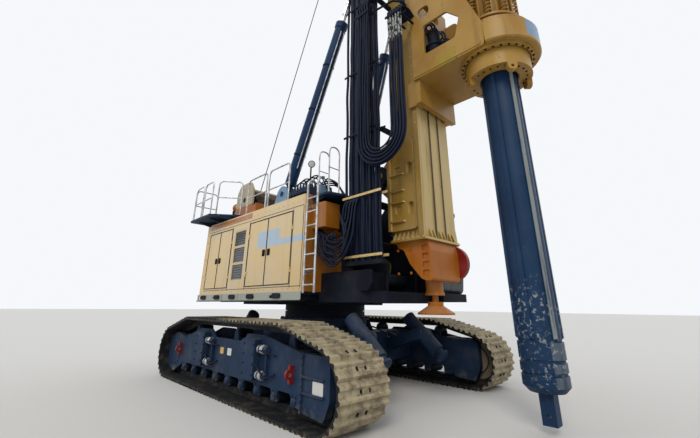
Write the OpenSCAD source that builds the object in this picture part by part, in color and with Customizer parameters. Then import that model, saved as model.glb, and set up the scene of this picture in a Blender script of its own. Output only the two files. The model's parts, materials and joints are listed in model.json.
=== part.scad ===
// Rotary piling rig on tracks: slewing upper with engine house and cab,
// mast on a luffing hinge with two backstay cylinders, rotary head on a
// crowd sledge, telescopic kelly bar. Millimetres, +X to the front, +Y to
// the machine's left, +Z up. The origin is on the ground under the slewing
// centre, midway between the tracks.

/* [Tracks] */
// Distance between the centre lines of the two tracks
track_gauge = 4400; // [4360:10:4500]
// Width of a track shoe
shoe_w = 1000; // [900:10:1040]
// Length of one shoe along the track
shoe_pitch = 270; // [240:5:300]
// Thickness of a shoe's plate
shoe_t = 30; // [24:1:36]
// Height of the two bars on a shoe
bar_h = 35; // [25:1:45]
// Depth of the link chain inside the shoes
link_h = 110; // [90:1:125]
// Width of the link chain
link_w = 240; // [200:5:260]
// Distance from the slewing centre to each end wheel
wheel_x = 2930; // [2880:10:3000]
// Radius of the end wheels where the links run
wheel_r = 404; // [380:1:420]
// Radius of a carrier roller under the top run
carrier_r = 90; // [80:1:100]
// Height of the carrier rollers' axes
carrier_z = 1155; // [1140:1:1180]
// Distance from the middle roller to the outer carrier rollers
carrier_x = 1950; // [1850:10:2050]
// Radius of a bottom roller
roller_r = 110; // [100:1:115]
// Number of bottom rollers on each side
roller_count = 9; // [7:1:10]

/* [Side frames and carbody] */
// Width of the side frame between its outer plates
frame_w = 560; // [520:10:580]
// Thickness of the side frame's plates
frame_plate = 40; // [30:1:50]
// How far the crossbeam boxes stand out of the side frame
beam_box_out = 140; // [100:5:180]
// Width of a crossbeam along the machine
beam_w = 480; // [440:10:540]
// Front crossbeam, distance ahead of the slewing centre
beam_front_x = 930; // [880:10:980]
// Rear crossbeam, distance behind the slewing centre
beam_rear_x = 1230; // [1180:10:1280]
// Underside of the crossbeams
beam_z0 = 460; // [440:10:500]
// Top of the crossbeams
beam_z1 = 1130; // [1100:5:1140]
// Radius of the carbody's turret
turret_r = 1050; // [1020:10:1100]
// Radius of the slewing ring
slew_r = 1000; // [940:10:1010]
// Underside of the deck, which is also the top of the slewing ring
deck_z0 = 1720; // [1700:5:1760]

/* [Deck and house] */
// Width of deck and house
house_w = 3300; // [3240:10:3320]
// Front face of the house
house_x1 = 1150; // [1120:10:1200]
// Rear face of the house and counterweight
house_x0 = -4210; // [-4300:10:-4150]
// Top of the deck
deck_z1 = 1970; // [1940:5:1990]
// Front edge of the deck's middle part
deck_x1 = 2700; // [2600:10:2760]
// Top of the house roof
roof_z = 4060; // [4000:10:4100]
// Thickness of the house walls and doors
wall_t = 45; // [35:1:55]
// Lower edge of the house doors
door_z0 = 2140; // [2100:5:2180]
// Upper edge of the house doors
door_z1 = 3750; // [3700:5:3800]
// Length of the counterweight from the rear face forward
ballast_l = 410; // [360:10:450]

/* [Cab] */
// Rear face of the cab
cab_x0 = 1260; // [1230:5:1290]
// Length of the cab
cab_l = 1700; // [1600:10:1800]
// Inner side face of the cab
cab_y0 = 800; // [780:5:830]
// Width of the cab
cab_w = 980; // [900:10:1020]
// Height of the cab
cab_h = 1800; // [1700:10:1850]
// Thickness of the cab walls
cab_t = 50; // [40:1:60]

/* [Mast] */
// Luffing pin, distance ahead of the slewing centre
luff_x = 2380; // [2370:1:2390]
// Luffing pin, height
luff_z = 4450; // [4400:10:4480]
// Radius of the luffing pin
luff_pin_r = 90; // [70:1:110]
// Front face of the mast
mast_x1 = 3500; // [3480:5:3520]
// Depth of the mast box
mast_d = 750; // [720:5:770]
// Width of the mast box
mast_w = 1000; // [960:10:1020]
// Wall of the mast box
mast_t = 20; // [16:1:26]
// Bolted joint between mast and mast foot
foot_z1 = 2900; // [2870:5:2950]
// Underside of the mast foot
foot_z0 = 2150; // [2130:5:2180]
// Joint between lower and upper mast
mast_split_z = 11500; // [11000:50:12000]
// Top of the upper mast
mast_top_z = 19900; // [19800:50:20400]
// Width of the guide rails on the mast's front corners
rail_w = 85; // [70:1:95]
// Depth of the guide rails
rail_d = 120; // [100:5:140]
// Axis of the head sheaves, height above the upper mast
sheave_rise = 550; // [520:10:600]
// Radius of the head sheaves
sheave_r = 430; // [380:5:460]

/* [Backstay cylinders] */
// Lower pin, distance ahead of the slewing centre
stay_x0 = -300; // [-330:1:-270]
// Lower pin, distance from the middle
stay_y0 = 1200; // [1180:5:1230]
// Lower pin, height
stay_z0 = 4450; // [4430:5:4480]
// Upper pin, distance ahead of the slewing centre
stay_x1 = 2600; // [2590:1:2610]
// Upper pin, distance from the middle
stay_y1 = 750; // [730:5:770]
// Upper pin, height
stay_z1 = 12300; // [12200:50:12500]
// Radius of the barrel
stay_barrel_r = 150; // [130:1:165]
// Radius of the rod
stay_rod_r = 90; // [75:1:105]
// Length of the barrel
stay_barrel_l = 5050; // [4800:50:5200]

/* [Rotary head and kelly] */
// Kelly axis, distance ahead of the slewing centre
kelly_x = 5070; // [5050:5:5090]
// Radius of the outer kelly tube
kelly_r = 300; // [290:1:306]
// Height of the drive ribs on the outer kelly tube
kelly_rib = 32; // [24:1:34]
// Number of drive ribs
kelly_ribs = 6; // [4:1:8]
// Lower end of the outer kelly tube
kelly_z0 = 1210; // [1190:5:1230]
// Upper end of the outer kelly tube
kelly_z1 = 15900; // [15700:50:16000]
// Radius of the collar on the inner kelly bar
collar_r = 322; // [315:1:326]
// Lower end of the collar
collar_z0 = 600; // [580:5:620]
// Side of the square kelly stub
stub_w = 200; // [150:50:200]
// Lower end of the kelly stub
stub_z0 = 110; // [100:5:150]
// Bore of the drive sleeve
sleeve_r = 345; // [340:1:350]
// Underside of the rotary head's gearbox
head_z0 = 6300; // [6280:5:6320]
// Radius of the gearbox round the kelly
gear_r = 810; // [790:5:820]
// Height of the gearbox
gear_h = 460; // [420:5:480]
// Distance between the outer faces of the head's side plates
head_w = 1500; // [1460:10:1520]
// Number of coil springs on top of the rotary head
spring_count = 10; // [8:1:12]

/* [Hidden] */
$fn = 48;

// Gap between faces that bear on each other
seat = 0.3;
// Gap between sliding faces
slide_gap = 0.5;
// Gap round doors
door_gap = 8;

slate = "#46566b";
dark = "#20242c";
tan_paint = "#d8ab62";
orange_paint = "#e08a1c";
yellow_paint = "#d9a52c";
steel = "#a8acb0";

// Chords on each circle of the belt's inner outlines, and the room they need over the wheels
belt_chords = [16, 16, 2, 2];
chord_gap = 3;

track_y = track_gauge / 2;
end_belt_r = wheel_r + chord_gap + link_h;
wheel_z = end_belt_r + shoe_t + bar_h;
carrier_belt_r = carrier_r + seat + link_h;
roller_z = shoe_t + bar_h + link_h + seat + roller_r;
frame_z0 = roller_z + roller_r + 4;
frame_z1 = 1000;
mast_x0 = mast_x1 - mast_d;
sheave_z = mast_top_z + sheave_rise;
stay_len = norm([stay_x1 - stay_x0, stay_y1 - stay_y0, stay_z1 - stay_z0]);

// Box between two opposite corners
module box(lo, hi) {
    translate(lo) cube(hi - lo);
}

// Outline in X and Z, thick from y0 to y1
module side_plate(points, y0, y1) {
    translate([0, y1, 0]) rotate([90, 0, 0]) linear_extrude(y1 - y0) polygon(points);
}

// Cylinders along Y, along Z and between two points
module cyl_y(x, z, r, y0, y1) {
    translate([x, y0, z]) rotate([-90, 0, 0]) cylinder(r = r, h = y1 - y0);
}

module cyl_z(x, y, r, z0, z1) {
    translate([x, y, z0]) cylinder(r = r, h = z1 - z0);
}

// Outline turned about the upright axis at x
module turned(x, points) {
    translate([x, 0, 0]) rotate_extrude() polygon(points);
}

// Copies round the kelly's axis, the first at a half or whole step
module round_kelly(count, first) {
    for (i = [0 : count - 1])
        translate([kelly_x, 0, 0]) rotate([0, 0, (i + first) * 360 / count]) children();
}

module rod(p, q, r) {
    d = q - p;
    translate(p) rotate([0, acos(d.z / norm(d)), atan2(d.y, d.x)]) cylinder(r = r, h = norm(d));
}

// Arc of a rounded corner at b, between the edges from a and to c
function corner(a, b, c, r, steps) =
    r == 0 ? [b] :
    let (
        u = (a - b) / norm(a - b),
        v = (c - b) / norm(c - b),
        half = acos(u * v) / 2,
        centre = b + (u + v) / norm(u + v) * r / sin(half),
        p = b + u * r / tan(half) - centre,
        q = b + v * r / tan(half) - centre,
        start = atan2(p.y, p.x),
        sweep = (atan2(q.y, q.x) - start + 540) % 360 - 180
    )
    [for (k = [0 : steps]) centre + r * [cos(start + sweep * k / steps), sin(start + sweep * k / steps)]];

// Outline with rounded corners, from a list of [x, y, radius]
function rounded(points, steps = 5) =
    let (n = len(points))
    [for (i = [0 : n - 1])
        let (a = points[(i + n - 1) % n], b = points[i], c = points[(i + 1) % n])
        each corner([a.x, a.y], [b.x, b.y], [c.x, c.y], b[2], steps)];

// Rounded rectangle between two corners
function slot(x0, z0, x1, z1, r) = rounded([[x0, z0, r], [x1, z0, r], [x1, z1, r], [x0, z1, r]], 3);

// Outline in Y and Z, thick from x0 to x1
module cross_plate(points, x0, x1) {
    translate([x0, 0, 0]) rotate([90, 0, 90]) linear_extrude(x1 - x0) polygon(points);
}

// Outline in X and Y, thick from z0 to z1
module floor_plate(points, z0, z1) {
    translate([0, 0, z0]) linear_extrude(z1 - z0) polygon(points);
}

module both_sides() {
    children();
    mirror([0, 1, 0]) children();
}

// The belt: circles [x, z, radius] that the shoes' inner faces run round,
// anticlockwise as seen from the machine's right
belt = [
    [-wheel_x, wheel_z, end_belt_r],
    [wheel_x, wheel_z, end_belt_r],
    [carrier_x, carrier_z, carrier_belt_r],
    [-carrier_x, carrier_z, carrier_belt_r]
];
belt_n = len(belt);

function turn(a) = (a + 360) % 360;
function run_angle(a, b) =
    let (d = [b.x - a.x, b.y - a.y])
    turn(atan2(d.y, d.x)) - acos((a[2] - b[2]) / norm(d));
run_angles = [for (i = [0 : belt_n - 1]) run_angle(belt[i], belt[(i + 1) % belt_n])];
function arc_start(i) = i == 0 ? run_angles[belt_n - 1] - 360 : run_angles[i - 1];
function arc_len(i) = belt[i][2] * (run_angles[i] - arc_start(i)) * PI / 180;
function on_circle(c, a) = [c.x + c[2] * cos(a), c.y + c[2] * sin(a)];
function run_len(i) =
    norm(on_circle(belt[(i + 1) % belt_n], run_angles[i]) - on_circle(belt[i], run_angles[i]));
function belt_len(i = 0) = i == belt_n ? 0 : arc_len(i) + run_len(i) + belt_len(i + 1);
belt_total = belt_len();
// Point and outward direction, [x, z, angle], at a distance along the belt
function belt_at(s, i = 0) =
    s < arc_len(i)
        ? let (a = arc_start(i) + s / belt[i][2] * 180 / PI) concat(on_circle(belt[i], a), [a])
    : s < arc_len(i) + run_len(i) || i == belt_n - 1
        ? let (a = run_angles[i], p = on_circle(belt[i], a), t = s - arc_len(i))
          [p.x - t * sin(a), p.y + t * cos(a), a]
    : belt_at(s - arc_len(i) - run_len(i), i + 1);
function belt_offset(s, h) =
    let (b = belt_at(s)) [b.x + h * cos(b[2]), b.y + h * sin(b[2])];

// Outline at a height over the shoes' inner faces, with the given number of chords on each circle
function belt_outline(h, chords) = [
    for (i = [0 : belt_n - 1], k = [0 : chords[i]])
        let (c = belt[i], a = arc_start(i) + k * (run_angles[i] - arc_start(i)) / chords[i])
        [c.x + (c[2] + h) * cos(a), c.y + (c[2] + h) * sin(a)]
];

shoe_count = round(belt_total / shoe_pitch);
shoe_step = belt_total / shoe_count;
// One shoe across its two bars: [share of the shoe's length, height over the plate's inner face]
shoe_form = [
    [0.00, shoe_t - 16], [0.05, shoe_t], [0.14, shoe_t + bar_h], [0.26, shoe_t + bar_h],
    [0.35, shoe_t], [0.60, shoe_t], [0.69, shoe_t + bar_h], [0.81, shoe_t + bar_h], [0.92, shoe_t]
];

module belt_band(outer, inner) {
    difference() {
        polygon(outer);
        polygon(inner);
    }
}

module track() {
    shoes_out = [for (i = [0 : shoe_count - 1], f = shoe_form) belt_offset((i + f[0]) * shoe_step, f[1])];
    rotate([90, 0, 0]) {
        linear_extrude(shoe_w, center = true) belt_band(shoes_out, belt_outline(0, belt_chords));
        linear_extrude(link_w, center = true)
            belt_band(belt_outline(0.1, belt_chords), belt_outline(-link_h, belt_chords));
    }
}

module track_right() {
    color("#4b4338") translate([0, -track_y, 0]) track();
}

module track_left() {
    color("#4b4338") translate([0, track_y, 0]) track();
}

roller_span = 2 * (wheel_x - end_belt_r - 180);
function roller_x(i) = -roller_span / 2 + i * roller_span / (roller_count - 1);

// Rollers of one side: [x, z, radius, half width of the drum]
roller_half = frame_w / 2 - frame_plate - seat;
side_rollers = concat(
    [for (i = [0 : roller_count - 1]) [roller_x(i), roller_z, roller_r, roller_half]],
    [for (x = [-carrier_x, 0, carrier_x]) [x, carrier_z, carrier_r, link_w / 2 + 10]]
);

module rollers() {
    color(dark) both_sides() for (w = side_rollers)
        cyl_y(w[0], w[1], w[2], track_y - w[3], track_y + w[3]);
}

hub_half = link_w / 2 + 20;

module end_wheels() {
    color(dark) both_sides() for (x = [-wheel_x, wheel_x]) {
        cyl_y(x, wheel_z, wheel_r, track_y - 55, track_y + 55);
        cyl_y(x, wheel_z, wheel_r - 150, track_y - hub_half + seat, track_y + hub_half - seat);
    }
}

// Side frame seen from outside, on the machine's left at y = 0
module side_frame() {
    half = frame_w / 2;
    core_l = wheel_x - wheel_r - link_h - 40;
    cover_t = half - hub_half;
    // Plate that rises where the crossbeams pass and slopes down to the final drive
    wall = rounded([[-core_l, 400, 0], [core_l, 400, 0], [core_l, 985, 60], [1250, beam_z1 + 50, 150],
        [650, beam_z1 + 50, 90], [480, 1030, 90], [-720, 1030, 90], [-930, beam_z1 + 50, 90],
        [-1520, beam_z1 + 50, 110], [-core_l, 930, 90]]);
    drive_cover = rounded([[core_l - 1, 400, 0], [core_l + 40, 190, 40], [2930, 150, 60],
        [3060, 420, 260], [3060, 930, 60], [2940, 990, 60], [core_l - 1, 990, 0]]);
    idler_cover = rounded([[1 - core_l, 400, 0], [1 - core_l, 930, 0], [-2900, 1030, 160],
        [-3330, 920, 240], [-3400, 560, 200], [-3300, 220, 200], [-2900, 130, 160], [-2450, 320, 60]]);
    // Box beam under the carrier rollers
    box([-core_l, -half + frame_plate - 1, frame_z0], [core_l, half - frame_plate + 1, frame_z1]);
    for (y = [-half, half - frame_plate]) {
        side_plate(wall, y, y + frame_plate);
        // Guards with an arch over each bottom roller's end
        difference() {
            box([-roller_span / 2 - 140, y, roller_z - 60], [roller_span / 2 + 140, y + frame_plate,
                frame_z0 + 40]);
            for (i = [0 : roller_count - 2])
                side_plate(slot(roller_x(i) + 85, roller_z - 100, roller_x(i + 1) - 85, frame_z0 - 10,
                    60), y - 10, y + frame_plate + 10);
        }
    }
    for (y = [-half, hub_half]) {
        side_plate(drive_cover, y, y + cover_t);
        side_plate(idler_cover, y, y + cover_t);
    }
    // Raised rim and ribs of the final drive's cover
    side_plate(rounded([[core_l + 30, 180, 20], [core_l + 75, 180, 20], [core_l + 75, 985, 20],
        [core_l + 30, 985, 20]]), half - 1, half + 35);
    for (z = [440, 660])
        side_plate(slot(core_l + 60, z, 2950, z + 30, 10), half - 1, half + 30);
    // Ends of the crossbeams, with the clevises of the widening cylinders beside them
    for (x = [beam_front_x, -beam_rear_x]) {
        side_plate(rounded([[x - beam_w / 2 + 50, beam_z0, 30], [x + beam_w / 2, beam_z0, 40],
            [x + beam_w / 2, beam_z1, 40], [x - beam_w / 2, beam_z1 - 30, 60]]), half - 1,
            half + beam_box_out);
        for (z = [beam_z0 + 90, beam_z1 - 170]) {
            rod([x + beam_w / 2 - 10, half + 60, z], [x + beam_w / 2 + 330, half + 60, z], 50);
            rod([x + beam_w / 2 + 40, half + 60, z], [x + beam_w / 2 + 150, half + 60, z], 62);
        }
        box([x + beam_w / 2 + 250, half - 1, beam_z0 + 70], [x + beam_w / 2 + 290, half + 60,
            beam_z1 - 150]);
    }
    // Brackets of the carrier rollers
    for (x = [-carrier_x, 0, carrier_x], y = [-link_w / 2 - 50, link_w / 2 + 10 + seat])
        side_plate(rounded([[x - 110, frame_z1 - 1, 0], [x + 110, frame_z1 - 1, 0],
            [x + 60, carrier_z + 55, 50], [x - 60, carrier_z + 55, 50]]), y, y + 40 - seat);
}

module side_frame_left() {
    color(slate) translate([0, track_y, 0]) side_frame();
}

module side_frame_right() {
    color(slate) mirror([0, 1, 0]) translate([0, track_y, 0]) side_frame();
}

// Lashing lugs on the side frames: [x, z]
lug_out = 145;
lug_hole_r = 35;
lug_t = 50;
lug_places = [[2170, 670], [-2550, 660]];

module tie_lugs() {
    color("#b03030") both_sides() for (p = lug_places)
        translate([p[0], track_y + frame_w / 2, p[1]]) difference() {
            union() {
                box([-lug_t / 2, 0, -130], [lug_t / 2, lug_out - 70, 130]);
                box([-lug_t / 2, 0, -70], [lug_t / 2, lug_out - 69, 70]);
                translate([-lug_t / 2, lug_out - 70, 0]) rotate([0, 90, 0]) cylinder(r = 70, h = lug_t);
            }
            translate([-lug_t, lug_out - 70, 0]) rotate([0, 90, 0]) cylinder(r = lug_hole_r, h = 2 * lug_t);
        }
}

module carbody() {
    inner = track_y - frame_w / 2;
    arm = rounded([[1100, 640, 0], [1500, 780, 120], [leg_x - 60, leg_z - 110, 120],
        [leg_x + 90, leg_z - 90, 60], [leg_x + 110, leg_z + 70, 60], [leg_x - 40, leg_z + 115, 90],
        [1500, 1010, 120], [1100, 1110, 0]]);
    color(slate) {
        // Crossbeams, deeper towards the middle
        for (x = [beam_front_x, -beam_rear_x])
            cross_plate(rounded([[-inner, beam_z0 + 60, 0], [-1250, beam_z0, 200], [1250, beam_z0, 200],
                [inner, beam_z0 + 60, 0], [inner, beam_z1, 0], [-inner, beam_z1, 0]]), x - beam_w / 2,
                x + beam_w / 2);
        floor_plate(rounded([[-1450, -760, 120], [-760, -1280, 200], [660, -1280, 200], [1400, -760, 120],
            [1400, 760, 120], [660, 1280, 200], [-760, 1280, 200], [-1450, 760, 120]]), beam_z0 + 60,
            beam_z1);
        // Turret with its flange and gussets
        rotate_extrude() polygon([[0, beam_z1 - 1], [turret_r + 60, beam_z1 - 1],
            [turret_r, beam_z1 + 60], [turret_r, 1370], [turret_r + 60, 1380], [turret_r + 60, 1420],
            [0, 1420]]);
        for (a = [15 : 30 : 345])
            rotate([0, 0, a]) side_plate([[turret_r - 20, beam_z1 - 1], [turret_r + 170, beam_z1 - 1],
                [turret_r + 55, 1390], [turret_r - 20, 1390]], -12, 12);
        difference() {
            // Arms of the support legs
            for (s = [0, 180], y = leg_bracket_y)
                rotate([0, 0, s]) both_sides() side_plate(arm, y, y + leg_plate);
            for (s = [-1, 1]) both_sides() cyl_y(s * leg_x, leg_z, leg_pin_r, leg_y - 300, leg_y + 300);
        }
    }
}

module slew_ring() {
    color(dark) difference() {
        cyl_z(0, 0, slew_r, 1420, deck_z0 - seat);
        cyl_z(0, 0, slew_r - 160, 1410, deck_z0 + 10);
        difference() {
            cyl_z(0, 0, slew_r + 10, 1570, 1585);
            cyl_z(0, 0, slew_r - 40, 1560, 1595);
        }
    }
}

// Support legs, stored leaning
leg_x = 2280;
leg_y = 930;
leg_z = 1120;
leg_pin_r = 50;
leg_r = 150;
leg_tilt = 49;
leg_gap = 5;
leg_plate = 60;
leg_bracket_y = [leg_y - leg_r - leg_gap - leg_plate, leg_y + leg_r + leg_gap];

module support_leg(s) {
    color("#3c4a5c") translate([s * leg_x, 0, leg_z]) rotate([0, -s * leg_tilt, 0]) {
        translate([0, leg_y, 0]) rotate_extrude() polygon([[0, -650], [leg_r - 12, -650], [leg_r, -640],
            [leg_r, -600], [100, -600], [100, -500], [leg_r - 15, -500], [leg_r, -485], [leg_r, 470],
            [leg_r + 8, 470], [leg_r + 8, 505], [leg_r - 10, 520], [0, 520]]);
        cyl_y(0, 0, leg_pin_r - 0.05, leg_bracket_y[0] - 10, leg_bracket_y[1] + leg_plate + 10);
    }
}

module support_leg_fl() {
    support_leg(1);
}

module support_leg_fr() {
    mirror([0, 1, 0]) support_leg(1);
}

module support_leg_rl() {
    support_leg(-1);
}

module support_leg_rr() {
    mirror([0, 1, 0]) support_leg(-1);
}

module deck() {
    half = house_w / 2;
    skirt = 30;
    back = house_x0 + 40;
    girder = 900;
    color(dark) {
        difference() {
            union() {
                // Floor with its side channels, open underneath
                floor_plate(rounded([[back, -half, 60], [house_x1, -half, 0], [house_x1, half, 0],
                    [back, half, 60]]), deck_z1 - 60, deck_z1);
                both_sides() {
                    box([back + 60, half - skirt, deck_z0 + 80], [house_x1, half, deck_z1 - 59]);
                    side_plate([[back + 60, deck_z0 + 60], [house_x1, deck_z0 + 60],
                        [house_x1, deck_z0 + 90], [back + 60, deck_z0 + 90]], half - 120, half + 20);
                }
            }
            // Oval openings in the side channels
            for (i = [0 : 4]) both_sides()
                side_plate(slot(-4065 + i * 1000, deck_z0 + 120, -3735 + i * 1000, deck_z0 + 190, 34),
                    half - 60, half + 40);
        }
        // Middle girder over the slewing ring and the crossbeams that carry the channels
        box([-2600, -girder, deck_z0], [house_x1, girder, deck_z1 - 59]);
        for (x = [-4000, -3100, -1900, -900, 100, 1000])
            box([x, -half + 20, deck_z0 + 90], [x + 80, half - 20, deck_z1 - 59]);
        box([back + 60, -girder, deck_z0 + 60], [-2599, -girder + 80, deck_z1 - 59]);
        box([back + 60, girder - 80, deck_z0 + 60], [-2599, girder, deck_z1 - 59]);
        // Platforms in front: under the mast's frame, and under the cab
        floor_plate(rounded([[house_x1 - 1, -1180, 0], [2250, -1180, 120], [deck_x1, -760, 120],
            [deck_x1, 760, 0], [house_x1 - 1, 760, 0]]), deck_z0 + 40, deck_z1);
        floor_plate(rounded([[house_x1 - 1, 700, 0], [cab_x0 + cab_l + 60, 700, 40],
            [cab_x0 + cab_l + 60, half + 130, 120], [house_x1 - 1, half + 130, 60]]), deck_z0 + 80,
            deck_z1);
    }
}

ballast_seams = [2480, 3000, 3520];

module counterweight() {
    half = house_w / 2;
    z0 = deck_z1 + seat;
    z1 = roof_z - seat;
    x1 = house_x0 + ballast_l;
    plan = rounded([[x1, -half, 0], [house_x0 + 160, -half, 120], [house_x0, -half + 200, 160],
        [house_x0, half - 200, 160], [house_x0 + 160, half, 120], [x1, half, 0]]);
    color(tan_paint) {
        difference() {
            floor_plate(plan, z0, z1);
            // Seams between the stacked slabs
            for (z = ballast_seams) difference() {
                box([house_x0 - 10, -half - 10, z], [x1 + 10, half + 10, z + 12]);
                box([house_x0 + 25, -half + 25, z - 10], [x1 + 20, half - 25, z + 30]);
            }
            // Recesses for the lifting eyes
            for (y = [-1150, 1150])
                cross_plate(slot(y - 110, z1 - 420, y + 110, z1 - 200, 60), house_x0 - 10, house_x0 + 90);
        }
        for (y = [-1150, 1150]) cyl_y(house_x0 + 45, z1 - 310, 30, y - 111, y + 111);
    }
}

module engine_block() {
    color("#5c5f5a") box([-2600, -550, deck_z1 + seat], [-700, 550, deck_z1 + 1150]);
}

// Doors of the house sides: [node, side, rear edge, front edge, hinge at the rear edge]
door_table = [
    ["door_right_rear", -1, -3730, -3000, true],
    ["door_right_mid", -1, -3000, -2250, false],
    ["door_right_fore", -1, -1250, -350, true],
    ["door_right_front", -1, -350, 690, false],
    ["door_left_rear", 1, -3730, -2650, true],
    ["door_left_mid", 1, -2650, -1560, false],
    ["door_left_front", 1, -1300, -200, true]
];
louvre_x = [-2070, -1440];
louvre_z = [2300, 3650];
louvre_rows = 3;
louvre_slats = 6;
hinge_zs = [door_z0 + 300, door_z1 - 360];
hinge_r = 14;

function door_hinge_x(d) = d[4] ? d[2] : d[3];

// Fixed halves of a door's hinges, on the house
module hinge_fixed(d) {
    s = d[1];
    x = door_hinge_x(d);
    dir = d[4] ? -1 : 1;
    y = s * (house_w / 2 + hinge_r);
    for (z = hinge_zs) {
        cyl_z(x, y, hinge_r, z - 60, z);
        box([min(x, x + dir * 50), min(y, y - s * hinge_r), z - 60], [max(x, x + dir * 50), max(y,
            y - s * hinge_r), z]);
    }
}

module house_door(name) {
    d = door_table[search([name], door_table)[0]];
    s = d[1];
    x = door_hinge_x(d);
    dir = d[4] ? 1 : -1;
    latch_x = (d[4] ? d[3] : d[2]) - dir * 110;
    yo = s * house_w / 2;
    yi = s * (house_w / 2 - wall_t);
    y = s * (house_w / 2 + hinge_r);
    latch_z = (door_z0 + door_z1) / 2 - 120;
    color(tan_paint) {
        difference() {
            side_plate(slot(d[2] + door_gap / 2, door_z0 + door_gap / 2, d[3] - door_gap / 2,
                door_z1 - door_gap / 2, 25), min(yo, yi), max(yo, yi));
            // Pan behind the latch, and the door's hollow back
            side_plate(slot(latch_x - 60, latch_z, latch_x + 60, latch_z + 160, 30), min(yo, yo - s * 18),
                max(yo + s, yo - s * 18));
            side_plate(slot(d[2] + 110, door_z0 + 100, d[3] - 210, door_z1 - 100, 40), min(yi - s * 10,
                yi + s * 20), max(yi - s * 10, yi + s * 20));
        }
        for (z = hinge_zs) {
            cyl_z(x, y, hinge_r, z + seat, z + 60);
            box([min(x, x + dir * 60), min(y, yo - s), z + seat], [max(x, x + dir * 60), max(y, yo - s),
                z + 60]);
        }
    }
}

module door_right_rear() {
    house_door("door_right_rear");
}

module door_right_mid() {
    house_door("door_right_mid");
}

module door_right_fore() {
    house_door("door_right_fore");
}

module door_right_front() {
    house_door("door_right_front");
}

module door_left_rear() {
    house_door("door_left_rear");
}

module door_left_mid() {
    house_door("door_left_mid");
}

module door_left_front() {
    house_door("door_left_front");
}

module house() {
    half = house_w / 2;
    x0 = house_x0 + ballast_l + seat;
    plan = rounded([[x0, -half, 0], [house_x1, -half, 60], [house_x1, half, 60], [x0, half, 0]]);
    color(tan_paint) {
        difference() {
            floor_plate(plan, deck_z1 + seat, roof_z);
            box([x0 - 1, -half + wall_t, deck_z1 - 10], [house_x1 - wall_t, half - wall_t,
                roof_z - wall_t]);
            for (d = door_table)
                box([d[2] - door_gap / 2, min(d[1] * (half + 10), d[1] * (half - wall_t - 10)),
                    door_z0 - door_gap / 2], [d[3] + door_gap / 2, max(d[1] * (half + 10),
                    d[1] * (half - wall_t - 10)), door_z1 + door_gap / 2]);
            box([louvre_x[0], -half - 10, louvre_z[0]], [louvre_x[1], -half + wall_t + 10, louvre_z[1]]);
        }
        // Curb round the roof
        difference() {
            floor_plate(plan, roof_z - 1, roof_z + 25);
            box([x0 - 1, -half + 40, roof_z - 10], [house_x1 - 40, half - 40, roof_z + 50]);
        }
        // Breather box on the front wall
        floor_plate(rounded([[house_x1 - 1, -1450, 0], [house_x1 + 430, -1450, 60],
            [house_x1 + 430, -970, 60], [house_x1 - 1, -970, 0]]), 3300, 3860);
        for (d = door_table) hinge_fixed(d);
    }
}

module louvres() {
    half = house_w / 2;
    row = (louvre_z[1] - louvre_z[0] - 2 * seat) / louvre_rows;
    x0 = louvre_x[0] + seat;
    x1 = louvre_x[1] - seat;
    color(dark) for (i = [0 : louvre_rows - 1]) {
        z0 = louvre_z[0] + seat + i * row;
        pitch = (row - 60) / louvre_slats;
        difference() {
            box([x0, -half + 6, z0], [x1, -half + wall_t - 5, z0 + row - 1]);
            side_plate(slot(x0 + 30, z0 + 30, x1 - 30, z0 + row - 31, 15), -half, -half + wall_t);
        }
        for (k = [0 : louvre_slats - 1])
            translate([0, 0, z0 + 30 + k * pitch]) cross_plate([[-half + 8, 0], [-half + 12, 0],
                [-half + wall_t - 7, pitch + 4], [-half + wall_t - 11, pitch + 4]], x0 + 20, x1 - 20);
    }
}

module cab_shell() {
    x0 = cab_x0;
    x1 = cab_x0 + cab_l;
    y0 = cab_y0;
    y1 = cab_y0 + cab_w;
    z0 = deck_z1 + seat;
    z1 = z0 + cab_h;
    t = cab_t;
    color(tan_paint) difference() {
        side_plate(rounded([[x0, z0, 40], [x1 - 60, z0, 120], [x1, z0 + 560, 160], [x1 - 150, z1, 150],
            [x0, z1, 90]]), y0, y1);
        side_plate(rounded([[x0 + t, z0 + t, 20], [x1 - 60 - t, z0 + t, 80], [x1 - t, z0 + 560, 120],
            [x1 - 150 - t, z1 - t, 110], [x0 + t, z1 - t, 50]]), y0 + t, y1 - t);
        // Side window towards the mast, windscreen, roof window and rear window
        side_plate(slot(x0 + 250, z0 + 400, x1 - 330, z1 - 150, 70), y0 - 10, y0 + t + 10);
        cross_plate(slot(y0 + 110, z0 + 240, y1 - 110, z1 - 140, 60), x1 - 240, x1 + 10);
        floor_plate(slot(x0 + 450, y0 + 180, x1 - 400, y1 - 180, 60), z1 - t - 10, z1 + 10);
        cross_plate(slot(y0 + 180, z0 + 900, y1 - 180, z1 - 200, 60), x0 - 10, x0 + t + 10);
        // Doorway
        side_plate(slot(cab_door_x0 - door_gap, z0 + 80, cab_door_x1 + door_gap, z1 - 100, 60),
            y1 - t - 10, y1 + 10);
    }
    color(tan_paint) for (z = cab_hinge_zs) {
        cyl_z(cab_door_x0 - 10, y1 + hinge_r, hinge_r, z - 60, z);
        box([cab_door_x0 - 50, y1 - 1, z - 60], [cab_door_x0 - 10, y1 + hinge_r, z]);
    }
}

cab_door_x0 = cab_x0 + 420;
cab_door_x1 = cab_x0 + cab_l - 330;
cab_hinge_zs = [deck_z1 + 500, deck_z1 + 1400];

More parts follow.
